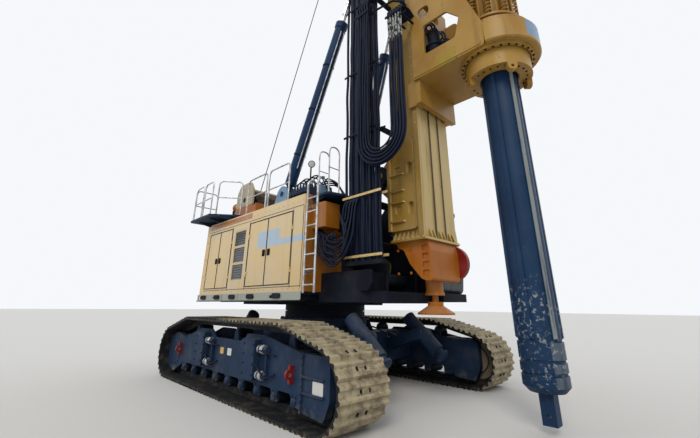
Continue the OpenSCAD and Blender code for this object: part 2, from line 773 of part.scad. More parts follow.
module cab_door() {
    y1 = cab_y0 + cab_w;
    z0 = deck_z1 + seat + 80 + door_gap;
    z1 = deck_z1 + seat + cab_h - 100 - door_gap;
    color(tan_paint) {
        difference() {
            side_plate(slot(cab_door_x0, z0, cab_door_x1, z1, 52), y1 - cab_t, y1);
            side_plate(slot(cab_door_x0 + 90, z0 + 620, cab_door_x1 - 90, z1 - 90, 50), y1 - cab_t - 10,
                y1 + 10);
            side_plate(slot(cab_door_x0 + 90, z0 + 90, cab_door_x1 - 90, z0 + 440, 50), y1 - cab_t - 10,
                y1 + 10);
        }
        for (z = cab_hinge_zs) {
            cyl_z(cab_door_x0 - 10, y1 + hinge_r, hinge_r, z + seat, z + 60);
            box([cab_door_x0 - 7, y1 - 1, z + seat], [cab_door_x0 + 60, y1 + hinge_r, z + 60]);
        }
        // Pull handle
        cyl_z(cab_door_x1 - 45, y1 + 45, 12, z0 + 480, z0 + 640);
        for (z = [z0 + 490, z0 + 630]) cyl_y(cab_door_x1 - 45, z, 9, y1 - 1, y1 + 46);
    }
}

module cab_glass() {
    z0 = deck_z1 + seat;
    z1 = z0 + cab_h;
    y0 = cab_y0;
    y1 = cab_y0 + cab_w;
    x0 = cab_x0;
    x1 = cab_x0 + cab_l;
    color([0.3, 0.4, 0.5, 0.5]) {
        side_plate(slot(x0 + 250 + seat, z0 + 400 + seat, x1 - 330 - seat, z1 - 150 - seat, 70), y0 + 20,
            y0 + 26);
        floor_plate(slot(x0 + 450 + seat, y0 + 180 + seat, x1 - 400 - seat, y1 - 180 - seat, 60), z1 - 30,
            z1 - 24);
        cross_plate(slot(y0 + 180 + seat, z0 + 900 + seat, y1 - 180 - seat, z1 - 200 - seat, 60), x0 + 20,
            x0 + 26);
        // Windscreen that follows the front's two slopes
        intersection() {
            side_plate([[x1 - 95, z0 + 100], [x1 - 89, z0 + 100], [x1 - 24, z0 + 560],
                [x1 - 167, z1 - 60], [x1 - 173, z1 - 60], [x1 - 30, z0 + 560]], y0 + 100, y1 - 100);
            cross_plate(slot(y0 + 110 + seat, z0 + 240 + seat, y1 - 110 - seat, z1 - 140 - seat, 60),
                x1 - 260, x1 + 20);
        }
    }
}

module cab_seat() {
    z0 = deck_z1 + seat + cab_t + seat;
    y = cab_y0 + cab_w / 2;
    x = cab_x0;
    color("#303338") {
        box([x + 420, y - 180, z0], [x + 780, y + 180, z0 + 330]);
        side_plate(rounded([[x + 330, z0 + 329, 40], [x + 850, z0 + 329, 50], [x + 860, z0 + 440, 50],
            [x + 700, z0 + 450, 80], [x + 450, z0 + 430, 30], [x + 370, z0 + 900, 80],
            [x + 360, z0 + 1080, 50], [x + 240, z0 + 1080, 50], [x + 250, z0 + 900, 60]]), y - 245,
            y + 245);
        // Armrests with the levers' consoles
        for (s = [-1, 1]) translate([0, y + s * 300, 0])
            side_plate(rounded([[x + 400, z0 + 400, 30], [x + 820, z0 + 400, 60], [x + 840, z0 + 620, 60],
                [x + 420, z0 + 600, 40]]), -56, 56);
    }
}

// Frame that carries the mast's luffing pin
frame_y0 = 450;
frame_y1 = 530;

module front_frame() {
    outline = rounded([[house_x1 + seat, deck_z1 + seat, 0], [2480, deck_z1 + seat, 0], [2500, 2350, 60],
        [2300, 3100, 300], [2260, 3950, 200], [luff_x + 150, luff_z - 190, 60],
        [luff_x + 230, luff_z, 150], [luff_x, luff_z + 230, 200], [luff_x - 260, luff_z + 90, 150],
        [1700, 4050, 200], [house_x1 + seat, 3300, 0]]);
    color(dark) {
        both_sides() difference() {
            union() {
                side_plate(outline, frame_y0, frame_y1);
                cyl_y(luff_x, luff_z, 230, frame_y0 - 10, frame_y1 + 20);
            }
            cyl_y(luff_x, luff_z, luff_pin_r, frame_y0 - 50, frame_y1 + 50);
            cyl_y(1640, 2560, 210, frame_y0 - 50, frame_y1 + 50);
            cyl_y(1960, 3420, 150, frame_y0 - 50, frame_y1 + 50);
        }
        // Web against the house and the tubes between the cheeks
        box([1200, -frame_y0 - 1, deck_z1 + 20], [1240, frame_y0 + 1, 3280]);
        for (p = [[2180, 2230, 130], [1330, 2230, 100], [1800, 3020, 120], [1980, 3960, 90]])
            cyl_y(p[0], p[1], p[2], -frame_y0 - 1, frame_y0 + 1);
        // Round tank beside the frame, on its own foot
        difference() {
            cyl_y(1700, 3540, 350, -940, -frame_y1 + 1);
            cyl_y(1700, 3540, 318, -990, -925);
        }
        // Side box on the platform
        side_plate(rounded([[house_x1 + seat, deck_z1 + seat, 0], [2520, deck_z1 + seat, 0],
            [2640, 2120, 60], [2640, 2360, 40], [house_x1 + seat, 2360, 0]]), -1120, -1080);
        box([1500, -1081, deck_z1 + seat], [1560, -frame_y1 + 1, 2340]);
        box([2380, -1081, deck_z1 + seat], [2440, -frame_y1 + 1, 2340]);
    }
}

walkway_z = 4200;
walkway_plan = [[-4450, -1270], [-2350, -1270], [-2990, -2120], [-4430, -2120]];

module walkway() {
    color(slate) {
        difference() {
            floor_plate(rounded([for (p = walkway_plan) [p.x, p.y, 60]]), walkway_z, walkway_z + 60);
            // Step cut-out over the outriggers
            floor_plate(slot(-4300, -2000, -3750, -1700, 60), walkway_z + 25, walkway_z + 70);
        }
        // Outriggers, deeper at the house, each on its foot
        for (x = [-4100, -3300, -2700]) {
            cross_plate([[-1290, walkway_z - 121], [-1290, walkway_z + 1], [-1960, walkway_z + 1],
                [-1960, walkway_z - 30], [-1560, walkway_z - 120]], x, x + 60);
            box([x, -1560, roof_z + seat], [x + 60, -1290, walkway_z - 119]);
        }
        // Overhanging step above the front wall
        floor_plate(rounded([[house_x1 + seat, -1500, 0], [1720, -1500, 90], [1800, -1200, 90],
            [1800, -620, 90], [house_x1 + seat, -620, 0]]), 3990, 4040);
        for (y = [-1440, -700])
            side_plate([[house_x1 + seat, 3870], [house_x1 + 60, 3870], [1600, 3991],
                [house_x1 + seat, 3991]], y, y + 30);
    }
}

// Hoops of tube: the two feet, the height they stand on and their own height
rail_r = 21;
rail_bend = 130;
rail_hoops = [
    [[-4390, -1330], [-4390, -2050], walkway_z + 60, 1050],
    [[-4300, -2070], [-3720, -2070], walkway_z + 60, 1050],
    [[-3620, -2070], [-3040, -2070], walkway_z + 60, 1050],
    [[-2900, -1950], [-2480, -1390], walkway_z + 60, 1050],
    [[-1760, -1555], [-760, -1555], roof_z, 1060],
    [[-640, -1555], [300, -1555], roof_z, 1060],
    [[-3000, 1555], [-1900, 1555], roof_z, 1060],
    [[-1700, 1555], [-700, 1555], roof_z, 1060]
];

module hoop(p, q, z0, rise) {
    d = q - p;
    l = norm(d);
    top = rise - rail_bend;
    translate([p.x, p.y, z0 + seat]) rotate([0, 0, atan2(d.y, d.x)]) {
        for (x = [0, l]) {
            cyl_z(x, 0, rail_r, 0, top);
            cyl_z(x, 0, 45, 0, 10);
        }
        for (e = [[rail_bend, 90], [l - rail_bend, 0]])
            translate([e[0], 0, top]) rotate([90, 0, 0]) rotate([0, 0, e[1]])
                rotate_extrude(angle = 90) translate([rail_bend, 0]) circle(rail_r);
        rod([rail_bend, 0, rise], [l - rail_bend, 0, rise], rail_r);
        rod([0, 0, rise / 2], [l, 0, rise / 2], rail_r - 4);
    }
}

module railings() {
    color(steel) for (h = rail_hoops)
        hoop(h[0], h[1], h[2], h[3]);
}

ladder_x = [1350, 1700];
ladder_y = -1750;

module ladder() {
    out = ladder_y;
    half = house_w / 2;
    color(steel) {
        for (x = ladder_x) {
            rod([x, out, 1930], [x, out, 4180], 24);
            // Handrail that bends back over the roof's edge
            translate([x, out + 160, 4180]) rotate([90, 0, 90])
                rotate([0, 0, 90]) rotate_extrude(angle = 90) translate([160, 0]) circle(24);
        }
        for (i = [0 : 6])
            rod([ladder_x[0], out, 2080 + i * 300], [ladder_x[1], out, 2080 + i * 300], 17);
        for (z = [2350, 3800]) {
            rod([ladder_x[0], out, z], [house_x1 + 18, -half + 150, z], 16);
            box([house_x1 + seat, -half + 90, z - 40], [house_x1 + 14, -half + 200, z + 40]);
        }
    }
}

module cooler() {
    z0 = roof_z + seat;
    x0 = tray_x[1] + 60;
    x1 = -780;
    color(orange_paint) {
        // Housing with sloping sides, its louvred top and the fan rings
        difference() {
            cross_plate(rounded([[-950, z0, 0], [880, z0, 0], [880, z0 + 330, 60], [780, z0 + 420, 60],
                [-850, z0 + 420, 60], [-950, z0 + 330, 60]]), x0, x1);
            for (y = [-480, 400]) cyl_z((x0 + x1) / 2, y, 370, z0 + 60, z0 + 500);
        }
        for (y = [-480, 400]) translate([(x0 + x1) / 2, y, 0]) {
            difference() {
                cyl_z(0, 0, 400, z0 + 419, z0 + 470);
                cyl_z(0, 0, 370, z0 + 400, z0 + 500);
            }
            for (a = [0 : 45 : 135]) rotate([0, 0, a]) box([-371, -10, z0 + 440], [371, 10, z0 + 462]);
            cyl_z(0, 0, 90, z0 + 59, z0 + 462);
        }
    }
}

// Main winch across the roof: its drum runs along Y
winch_x = -2590;
winch_z = 4780;
winch_y = [-1180, 1000];
drum_r = 300;
drum_pin_r = 80;
drum_grooves = 18;
tray_x = [winch_x - 560, winch_x + 740];

module winch_frame() {
    cheek = rounded([[winch_x - 500, roof_z + seat, 0], [winch_x + 500, roof_z + seat, 0],
        [winch_x + 490, 5060, 160], [winch_x + 300, 5320, 160], [winch_x - 300, 5320, 160],
        [winch_x - 490, 5060, 160]]);
    z1 = 4560;
    color("#c9a878") {
        difference() {
            union() {
                for (y = [winch_y[0] - 60, winch_y[1]])
                    side_plate(cheek, y, y + 60);
                // Tray round the drum, with its front and rear walls
                for (x = [tray_x[0], tray_x[1] - 40])
                    box([x, winch_y[0] - 60, roof_z + seat], [x + 40, winch_y[1] + 60, z1]);
                for (y = [winch_y[0] - 60, winch_y[1] + 20])
                    side_plate(slot(tray_x[0] + 1, roof_z + seat, tray_x[1] - 1, z1 - 40, 10), y, y + 40);
                box([tray_x[0] + 1, winch_y[0] - 59, roof_z + seat], [tray_x[1] - 1, winch_y[1] + 59,
                    roof_z + 40]);
            }
            cyl_y(winch_x, winch_z, drum_pin_r, winch_y[0] - 100, winch_y[1] + 100);
        }
        // Guard bars in front of the drum and behind it
        for (x = [winch_x + 430, winch_x - 430])
            cyl_y(x, 5010, 45, winch_y[0] - 1, winch_y[1] + 1);
    }
}

module winch_drum() {
    y0 = winch_y[0] + 5;
    y1 = winch_y[1] - 5;
    flange = 40;
    groove = (y1 - y0 - 2 * flange) / drum_grooves;
    color(dark) {
        translate([winch_x, 0, winch_z]) rotate([-90, 0, 0]) rotate_extrude() polygon(concat(
            [[0, y0], [drum_r + 90, y0], [drum_r + 90, y0 + flange]], [for (i = [0 : drum_grooves - 1],
                f = [[0.15, 0], [0.5, -22], [0.85, 0]]) [drum_r + f[1],
                y0 + flange + (i + f[0]) * groove]], [[drum_r + 90, y1 - flange], [drum_r + 90, y1],
                [0, y1]]));
        cyl_y(winch_x, winch_z, drum_pin_r - 0.05, winch_y[0] - 60, winch_y[1] + 60);
    }
}

// Roof brackets of the backstay cylinders
stay_ear_t = 60;
stay_eye_half = 90;
stay_pin_r = 70;
// Sideways room beside the lower and upper eyes, and room for the upper pin in the
// rod's eye, where the linkage is opened
stay_gap0 = 5;
stay_gap1 = 55;
eye_play = 32;

module stay_brackets() {
    cheek = rounded([[stay_x0 - 400, roof_z + seat, 0], [stay_x0 + 330, roof_z + seat, 0],
        [stay_x0 + 190, stay_z0 + 120, 160], [stay_x0, stay_z0 + 260, 180],
        [stay_x0 - 210, stay_z0 + 120, 170]]);
    color("#8fa6bd") both_sides() difference() {
        union() {
            for (y = [stay_y0 - stay_eye_half - stay_gap0 - stay_ear_t,
                stay_y0 + stay_eye_half + stay_gap0]) {
                side_plate(cheek, y, y + stay_ear_t);
                cyl_y(stay_x0, stay_z0, 130, y - 4, y + stay_ear_t + 4);
            }
            box([stay_x0 - 400, stay_y0 - 160, roof_z + seat], [stay_x0 + 330, stay_y0 + 160, roof_z + 40]);
        }
        cyl_y(stay_x0, stay_z0, stay_pin_r, stay_y0 - 300, stay_y0 + 300);
    }
}

// Places the children along the right-hand backstay's line, Z towards the mast
module along_stay(s) {
    d = [stay_x1 - stay_x0, s * (stay_y1 - stay_y0), stay_z1 - stay_z0];
    translate([stay_x0, s * stay_y0, stay_z0])
        rotate([0, acos(d.z / stay_len), atan2(d.y, d.x)]) children();
}

stay_pin_half = stay_eye_half + stay_gap0 + stay_ear_t + 15;

module stay_barrel(s) {
    r = stay_barrel_r;
    l = stay_barrel_l;
    color("#2d3c50") {
        along_stay(s) difference() {
            union() {
                rotate_extrude() polygon([[0, 60], [80, 60], [80, 240], [r - 25, 265], [r, 290],
                    [r, l - 190], [r + 25, l - 165], [r + 25, l - 15], [r + 10, l], [0, l]]);
                // Feed pipe along the barrel
                cyl_z(0, r + 12, 16, 360, l - 200);
                for (z = [330, l - 230]) box([-30, r - 20, z], [30, r + 35, z + 60]);
            }
            cyl_z(0, 0, stay_rod_r + 0.05, 700, l + 10);
        }
        cyl_y(stay_x0, stay_z0, 125, s * stay_y0 - stay_eye_half, s * stay_y0 + stay_eye_half);
        cyl_y(stay_x0, stay_z0, stay_pin_r - 0.05, s * stay_y0 - stay_pin_half,
            s * stay_y0 + stay_pin_half);
    }
}

module stay_barrel_right() {
    stay_barrel(-1);
}

module stay_barrel_left() {
    stay_barrel(1);
}

module stay_rod(s) {
    color(steel) {
        along_stay(s) cyl_z(0, 0, stay_rod_r, 1500, stay_len - 115);
        difference() {
            cyl_y(stay_x1, stay_z1, 150, s * stay_y1 - stay_eye_half, s * stay_y1 + stay_eye_half);
            cyl_y(stay_x1, stay_z1, stay_pin_r + eye_play, s * stay_y1 - 300, s * stay_y1 + 300);
        }
    }
}

module stay_rod_right() {
    stay_rod(-1);
}

module stay_rod_left() {
    stay_rod(1);
}

module mast_box(z0, z1) {
    half = mast_w / 2;
    difference() {
        union() {
            box([mast_x0, -half, z0], [mast_x1, half, z1]);
            both_sides() box([mast_x1 - rail_d, half - 1, z0], [mast_x1, half + rail_w, z1]);
        }
        box([mast_x0 + mast_t, -half + mast_t, z0 - 10], [mast_x1 - mast_t, half - mast_t, z1 + 10]);
        // Shallow grooves down the front face
        for (y = [-180, 180])
            box([mast_x1 - 8, y - 12, z0 - 10], [mast_x1 + 10, y + 12, z1 + 10]);
    }
}

gusset_h = 170;

module mast_lower() {
    half = mast_w / 2;
    z0 = foot_z1 + seat;
    z1 = z0 + 45;
    color(tan_paint) {
        mast_box(z0, mast_split_z);
        difference() {
            floor_plate(slot(mast_x0 - 60, -half - 130, mast_x1 + 75, half + 130, 50), z0, z1);
            cyl_z(jack_x, 0, jack_rod_r + 0.05, foot_z1, foot_z1 + 70);
        }
        // Gussets that carry the mast on its bolted flange
        both_sides() for (i = [0 : 5])
            cross_plate([[half - 1, z1 - 1], [half + 120, z1 - 1], [half + 120, z1 + 25],
                [half + 30, z1 + gusset_h], [half - 1, z1 + gusset_h]],
                mast_x0 + 20 + i * 110, mast_x0 + 42 + i * 110);
        for (y = [-420, -290, -80, 60, 270, 400])
            side_plate([[mast_x1 - 9, z1 - 1], [mast_x1 + 70, z1 - 1], [mast_x1 + 70, z1 + 25],
                [mast_x1 + 15, z1 + gusset_h], [mast_x1 - 9, z1 + gusset_h]], y, y + 22);
    }
}

// Ears of the backstay rods: where each plate lies across the mast
stay_ears = [
    stay_y1 - stay_eye_half - stay_gap1 - stay_ear_t, stay_y1 + stay_eye_half + stay_gap1];

module mast_upper() {
    ears_out = stay_ears[1] + stay_ear_t;
    color(tan_paint) {
        mast_box(mast_split_z + seat, mast_top_z);
        both_sides() {
            difference() {
                union() {
                    for (y = stay_ears)
                        side_plate([[stay_x1 - 150, stay_z1 - 100], [stay_x1, stay_z1 - 180],
                            [mast_x0 + 300, stay_z1 - 300], [mast_x0 + 300, stay_z1 + 300],
                            [stay_x1, stay_z1 + 180], [stay_x1 - 150, stay_z1 + 100]], y, y + stay_ear_t);
                    box([mast_x0 + 200, mast_w / 2 - 1, stay_z1 - 300],
                        [mast_x0 + 300, ears_out, stay_z1 + 300]);
                }
                cyl_y(stay_x1, stay_z1, stay_pin_r, 0, ears_out + 10);
            }
            cyl_y(stay_x1, stay_z1, stay_pin_r - 0.05, stay_ears[0], ears_out);
        }
    }
}

// Side columns with the ears that hang on the luffing pin
module mast_bracket() {
    half = mast_w / 2;
    z0 = foot_z1 + gusset_h + 60;
    x1 = mast_x1 - rail_d - claw_lip - 10;
    color(tan_paint) {
        both_sides() {
            // Stiffener column beside the mast with its keyhole openings
            difference() {
                side_plate(rounded([[2690, z0, 0], [x1, z0, 60], [x1, 5050, 90], [x1 - 140, 5190, 60],
                    [2690, 5190, 0]]), half + seat, half + 90);
                for (z = [3560, 4420]) {
                    side_plate(slot(3155, z - 135, 3305, z + 135, 70), half - 10, half + 100);
                    side_plate(slot(2840, z - 90, 3010, z + 90, 60), half + 60, half + 100);
                }
            }
            side_plate(rounded([[2690, z0, 0], [2750, z0, 20], [2750, 4700, 60], [2860, 4790, 60],
                [2860, 5190, 30], [2690, 5190, 0]]), half + 89, half + 150);
            for (z = [3300, 3700, 3950, 4310])
                floor_plate(rounded([[2749, half + 89, 0], [3090, half + 89, 0], [3070, half + 140, 20],
                    [2749, half + 150, 0]]), z, z + 30);
            // Luffing ear
            side_plate(rounded([[mast_x0 - seat, 3700, 0], [mast_x0 - seat, 5050, 0],
                [luff_x + 40, luff_z + 260, 200], [luff_x - 230, luff_z + 120, 180],
                [luff_x - 170, luff_z - 230, 180]]), 300, 430);
            cyl_y(luff_x, luff_z, 220, 290, 436);
            box([mast_x0 - 119, half - 1, 3801], [mast_x0 - seat, half + 90, 4899]);
        }
        cyl_y(luff_x, luff_z, luff_pin_r - 0.05, -560, 560);
        difference() {
            box([mast_x0 - 120, -half, 3800], [mast_x0 - seat, half, 4900]);
            for (z = [4010, 4690]) translate([0, 0, z]) rotate([0, 90, 0]) cylinder(r = 110, h = 4000);
        }
    }
}

module mast_foot() {
    half = mast_w / 2;
    top = foot_z1;
    profile = rounded([[mast_x0 + 20, top, 0], [mast_x0 + 40, top - 90, 40], [2940, top - 150, 80],
        [3080, 2470, 120], [3330, 2190, 60], [3430, foot_z0, 30], [mast_x1 + 60, foot_z0, 50],
        [mast_x1 + 60, top - 200, 60], [mast_x1 + 20, top, 0]]);
    color(orange_paint) {
        difference() {
            union() {
                side_plate(profile, -half + 40, half - 40);
                // Side flanges with the ladder of ribs between them
                both_sides() difference() {
                    side_plate(profile, half - 41, half);
                    for (i = [0 : 3])
                        side_plate(slot(3370, 2240 + i * 155, 3510, 2345 + i * 155, 18), half - 30,
                            half + 10);
                }
                // Jack's cylinder with its end ring
                cyl_z(jack_x, 0, 165, 1900, foot_z0 + 60);
                cyl_z(jack_x, 0, 185, 1900, 1960);
            }
            cyl_y(foot_sheave_x, foot_sheave_z, foot_pin_r, half - 200, half + 10);
            cyl_z(jack_x, 0, jack_rod_r + 0.05, 1890, top + 10);
        }
    }
}

foot_sheave_x = 3400;
foot_sheave_z = 2540;
foot_pin_r = 60;

module foot_sheave() {
    color("#a3221f") {
        cyl_y(foot_sheave_x, foot_sheave_z, 350, mast_w / 2 + 5, mast_w / 2 + 105);
        cyl_y(foot_sheave_x, foot_sheave_z, foot_pin_r - 0.05, mast_w / 2 - 199, mast_w / 2 + 6);
    }
}

jack_x = 3270;
jack_rod_r = 60;

module foot_jack() {
    color(yellow_paint) {
        cyl_z(jack_x, 0, jack_rod_r, 1570, 3480);
        translate([jack_x, 0, 1550]) rotate_extrude() polygon([[0, 0], [350, 0], [350, 30], [150, 160],
            [150, 230], [0, 230]]);
    }
}

module mast_head() {
    half = 330;
    color(tan_paint) {
        difference() {
            union() {
                both_sides() side_plate(rounded([[mast_x0 - 200, mast_top_z + seat, 0],
                    [mast_x1 + 100, mast_top_z + seat, 60], [kelly_x + 40, sheave_z - 190, 80],
                    [kelly_x + 150, sheave_z - 60, 110], [kelly_x + 130, sheave_z + 190, 90],
                    [mast_x0 - 200, sheave_z + 190, 120], [mast_x0 - 330, sheave_z - 60, 100]]),
                    half - 30, half);
                box([mast_x0, -half, mast_top_z + seat], [mast_x1, half, mast_top_z + 60]);
                box([mast_x1 + 200, -half, sheave_z - 120], [mast_x1 + 500, half, sheave_z + 120]);
                for (x = head_sheave_xs) both_sides() cyl_y(x, sheave_z, sheave_pin_r + 70, half - 1,
                    half + 20);
            }
            for (x = head_sheave_xs) cyl_y(x, sheave_z, sheave_pin_r, -400, 400);
            // Lightening holes in the cheeks and the tie box
            cyl_y(3330, mast_top_z + 400, 160, -400, 400);
            cyl_y(3850, sheave_z, 90, -400, 400);
            cyl_y(4170, sheave_z - 40, 120, -400, 400);
        }
    }
}

sheave_pin_r = 60;
head_sheave_xs = [mast_x0 + 40, kelly_x - sheave_r];

module head_sheave(x) {
    translate([x, 0, sheave_z]) rotate([-90, 0, 0]) rotate_extrude() polygon([[0, -60], [sheave_r, -60],
        [sheave_r - 50, 0], [sheave_r, 60], [0, 60]]);
    cyl_y(x, sheave_z, sheave_pin_r - 0.05, -330, 330);
}

module head_sheaves() {
    color(dark) head_sheave(head_sheave_xs[1]);
}

module rear_head_sheave() {
    color(dark) head_sheave(head_sheave_xs[0]);
}

// Hydraulic hoses clamped behind the mast
hose_r = 38;
hose_rows = [-1120, -1020];
hose_cols = 9;
hose_step = 115;
hose_x0 = 1920;

module hose_bundle() {
    color(dark) for (i = [0 : hose_cols - 1], y = hose_rows)
        cyl_z(hose_x0 + i * hose_step, y, hose_r, 2450, 12000);
    color(orange_paint) for (z = [3880, 5350, 7000, 9000, 11000])
        box([hose_x0 - 60, hose_rows[0] - 50, z], [hose_x0 + (hose_cols - 1) * hose_step + 60,
            hose_rows[1] + 50, z + 60]);
    color(orange_paint) for (z = [5350, 9000])
        box([mast_x0 + 20, hose_rows[1] + 49, z], [mast_x0 + 120, -mast_w / 2 - seat, z + 60]);
}

loop_x = 3050;
loop_y = -1250;
loop_z = 5000;
loop_r = 25;

module hose_loops() {
    color(dark) for (i = [0 : 5]) {
        r = 320 + i * 60;
        translate([loop_x, loop_y, loop_z]) rotate([90, 0, 0]) rotate([0, 0, 180])
            rotate_extrude(angle = 180) translate([r, 0]) circle(loop_r);
        cyl_z(loop_x + r, loop_y, loop_r, loop_z, 7800);
        cyl_z(loop_x - r, loop_y, loop_r, loop_z, 9000);
    }
    color(yellow_paint) box([loop_x + 280, loop_y - 50, 7760], [loop_x + 660, -head_w / 2 - seat, 7820]);
    color(yellow_paint) box([loop_x - 660, loop_y - 50, 8400], [loop_x + 560, loop_y + 50, 8460]);
    color(yellow_paint) box([loop_x + 540, loop_y - 50, 8400], [loop_x + 640, -head_w / 2 - seat, 8460]);
}

claw_lip = 30;

// Claws that grip the mast's guide rails between z0 and z1
module rail_claws(z0, z1) {
    half = mast_w / 2;
    g = slide_gap;
    both_sides() {
        box([mast_x1 + g, half - 60, z0], [mast_x1 + 90, half + rail_w + 60, z1]);
        box([mast_x1 - rail_d - claw_lip, half + rail_w + g, z0], [mast_x1 + 1, half + rail_w + 60, z1]);
        box([mast_x1 - rail_d - claw_lip, half + 15, z0], [mast_x1 - rail_d - g, half + rail_w + 2, z1]);
    }
}

sledge_z0 = 5750;
sledge_z1 = 8900;

claw_h = 600;
head_arm_x = 5170;

module head_sledge() {
    half = head_w / 2;
    back = mast_x1 + 80;
    top = head_z0 + gear_h;
    color(yellow_paint) {
        rail_claws(sledge_z0, sledge_z0 + claw_h);
        rail_claws(sledge_z1 - claw_h, sledge_z1);
        difference() {
            box([back, -half + 50, sledge_z0], [mast_x1 + 200, half - 50, sledge_z1]);
            for (z = [sledge_z1 - 1100, sledge_z1 - 350])
                cross_plate(slot(-330, z - 170, 330, z + 170, 120), back - 10, mast_x1 + 300);
        }
        // Side plates: a sill beside the gearbox and an arm that slants up to the mast
        both_sides() difference() {
            side_plate(rounded([[back, head_z0, 0], [head_arm_x, head_z0, 60],
                [head_arm_x + 40, top - 40, 60], [4890, 7680, 160], [4680, 7950, 120], [4250, 8150, 200],
                [3950, 8600, 120], [back, 8600, 0]]), half - 50, half);
            side_plate(rounded([[3900, top + 40, 60], [4620, top + 40, 70], [4740, 7240, 90],
                [4470, 7560, 90], [3900, 7560, 60]]), half - 60, half + 10);
            side_plate(slot(3780, 7800, 4080, 8080, 110), half - 60, half + 10);
        }
        both_sides() side_plate(slot(back + 1, head_z0 + 40, head_arm_x - 60, head_z0 + 120, 30),
            half - 1, half + 14);
    }
}

module head_gearbox() {
    inner = head_w / 2 - 50 - seat;
    z1 = head_z0 + gear_h;
    bore = sleeve_out_r + 5;
    color(yellow_paint) {
        difference() {
            union() {
                turned(kelly_x, [[0, head_z0], [gear_r - 25, head_z0], [gear_r, head_z0 + 25],
                    [gear_r, z1 - 30], [gear_r - 30, z1], [gear_r - 60, z1], [gear_r - 60, z1 + 70],
                    [gear_r - 90, z1 + 75], [gear_r - 90, z1 + 120], [0, z1 + 120]]);
                floor_plate(rounded([[mast_x1 + 200 + seat, -inner, 60], [kelly_x, -inner, 0],
                    [kelly_x, inner, 0], [mast_x1 + 200 + seat, inner, 60]]), head_z0, z1);
            }
            cyl_z(kelly_x, 0, bore, head_z0 - 10, z1 + 200);
            both_sides() box([mast_x1, inner, head_z0 - 10], [head_arm_x + 40 + seat, head_w / 2 + 200,
                z1 + 200]);
        }
        // Fixed flange under the gearbox, round the sleeve's ring
        difference() {
            cyl_z(kelly_x, 0, 690, head_z0 - 60, head_z0 + 1);
            cyl_z(kelly_x, 0, 625, head_z0 - 70, head_z0 + 10);
        }
    }
}

module head_motors() {
    color(dark) for (y = [-450, 0, 450]) translate([3980, y, head_z0 + gear_h + seat]) {
        rotate_extrude() polygon([[0, 0], [190, 0], [190, 35], [165, 50], [165, 320], [190, 335],
            [190, 380], [130, 385], [130, 720], [105, 750], [105, 800], [0, 800]]);
        // Valve block with its two ports
        box([-80, 100, 440], [80, 180, 640]);
        for (x = [-42, 42]) cyl_y(x, 560, 26, 179, 215);
    }
}

sleeve_out_r = 465;
// Ears under the sleeve that drive a casing by pins
ear_in = 500;
ear_out = 600;
ear_z = 5820;
ear_hole_r = 30;

module drive_sleeve() {
    z1 = head_z0 + gear_h + 120 + seat;
    color(yellow_paint) difference() {
        union() {
            turned(kelly_x, [[sleeve_r, 5920], [sleeve_r + 20, 5900], [600, 5900], [600, head_z0 - 30],
                [575, head_z0 - 5], [sleeve_out_r, head_z0 - 5], [sleeve_out_r, z1], [560, z1],
                [560, 7030], [530, 7060], [sleeve_r, 7060]]);
            round_kelly(4, 0.5) cross_plate(rounded([[-95, 5901, 0], [-75, ear_z - 75, 65],
                [75, ear_z - 75, 65], [95, 5901, 0]]), ear_in, ear_out);
        }
        round_kelly(4, 0.5) translate([0, 0, ear_z]) rotate([0, 90, 0]) cylinder(r = ear_hole_r, h = 700);
    }
}

module spring_pack() {
    z0 = 7060 + seat;
    z1 = 7960;
    coils = 9;
    step = (z1 - z0 - 60) / coils;
    wire = [for (i = [0 : coils - 1], f = [[0.15, 60], [0.5, 78], [0.85, 60]])
        [f[1], z0 + 60 + (i + f[0]) * step]];
    color(orange_paint) {
        difference() {
            union() {
                cyl_z(kelly_x, 0, 580, z0, z0 + 60);
                cyl_z(kelly_x, 0, 580, z1, z1 + 70);
                cyl_z(kelly_x, 0, 390, z0, z1 + 200);
            }
            cyl_z(kelly_x, 0, sleeve_r, z0 - 10, z1 + 300);
        }
        round_kelly(spring_count, 0.5) turned(490, concat([[0, z0 + 59]], wire, [[0, z1 + 1]]));
        // Tie bolts between the springs
        round_kelly(spring_count, 0) cyl_z(535, 0, 18, z0 + 59, z1 + 1);
    }
}

guide_drop = 700;

module kelly_guide() {
    z0 = kelly_z1 - guide_drop;
    mid = z0 + 150;
    color(yellow_paint) {
        rail_claws(z0 - 50, z0 + 650);
        difference() {
            union() {
                cross_plate(slot(-560, z0, 560, z0 + 600, 120), mast_x1 + 80, mast_x1 + 200);
                // Two arm plates with a web at each side
                for (z = [mid, mid + 260])
                    floor_plate([[mast_x1 + 199, -520], [kelly_x, -440], [kelly_x, 440],
                        [mast_x1 + 199, 520]], z, z + 40);
                both_sides() floor_plate([[mast_x1 + 199, 480], [kelly_x - 100, 415],
                    [kelly_x - 100, 445], [mast_x1 + 199, 519]], mid + 39, mid + 261);
                turned(kelly_x, [[0, z0 + 50], [430, z0 + 50], [470, z0 + 90], [470, z0 + 550],
                    [430, kelly_z1 - 100], [0, kelly_z1 - 100]]);
            }
            cyl_z(kelly_x, 0, kelly_r + kelly_rib + 8, z0, kelly_z1);
            floor_plate(rounded([[mast_x1 + 320, -360, 90], [kelly_x - 560, -300, 90],
                [kelly_x - 560, 300, 90], [mast_x1 + 320, 360, 90]]), mid - 10, mid + 400);
        }
    }
}

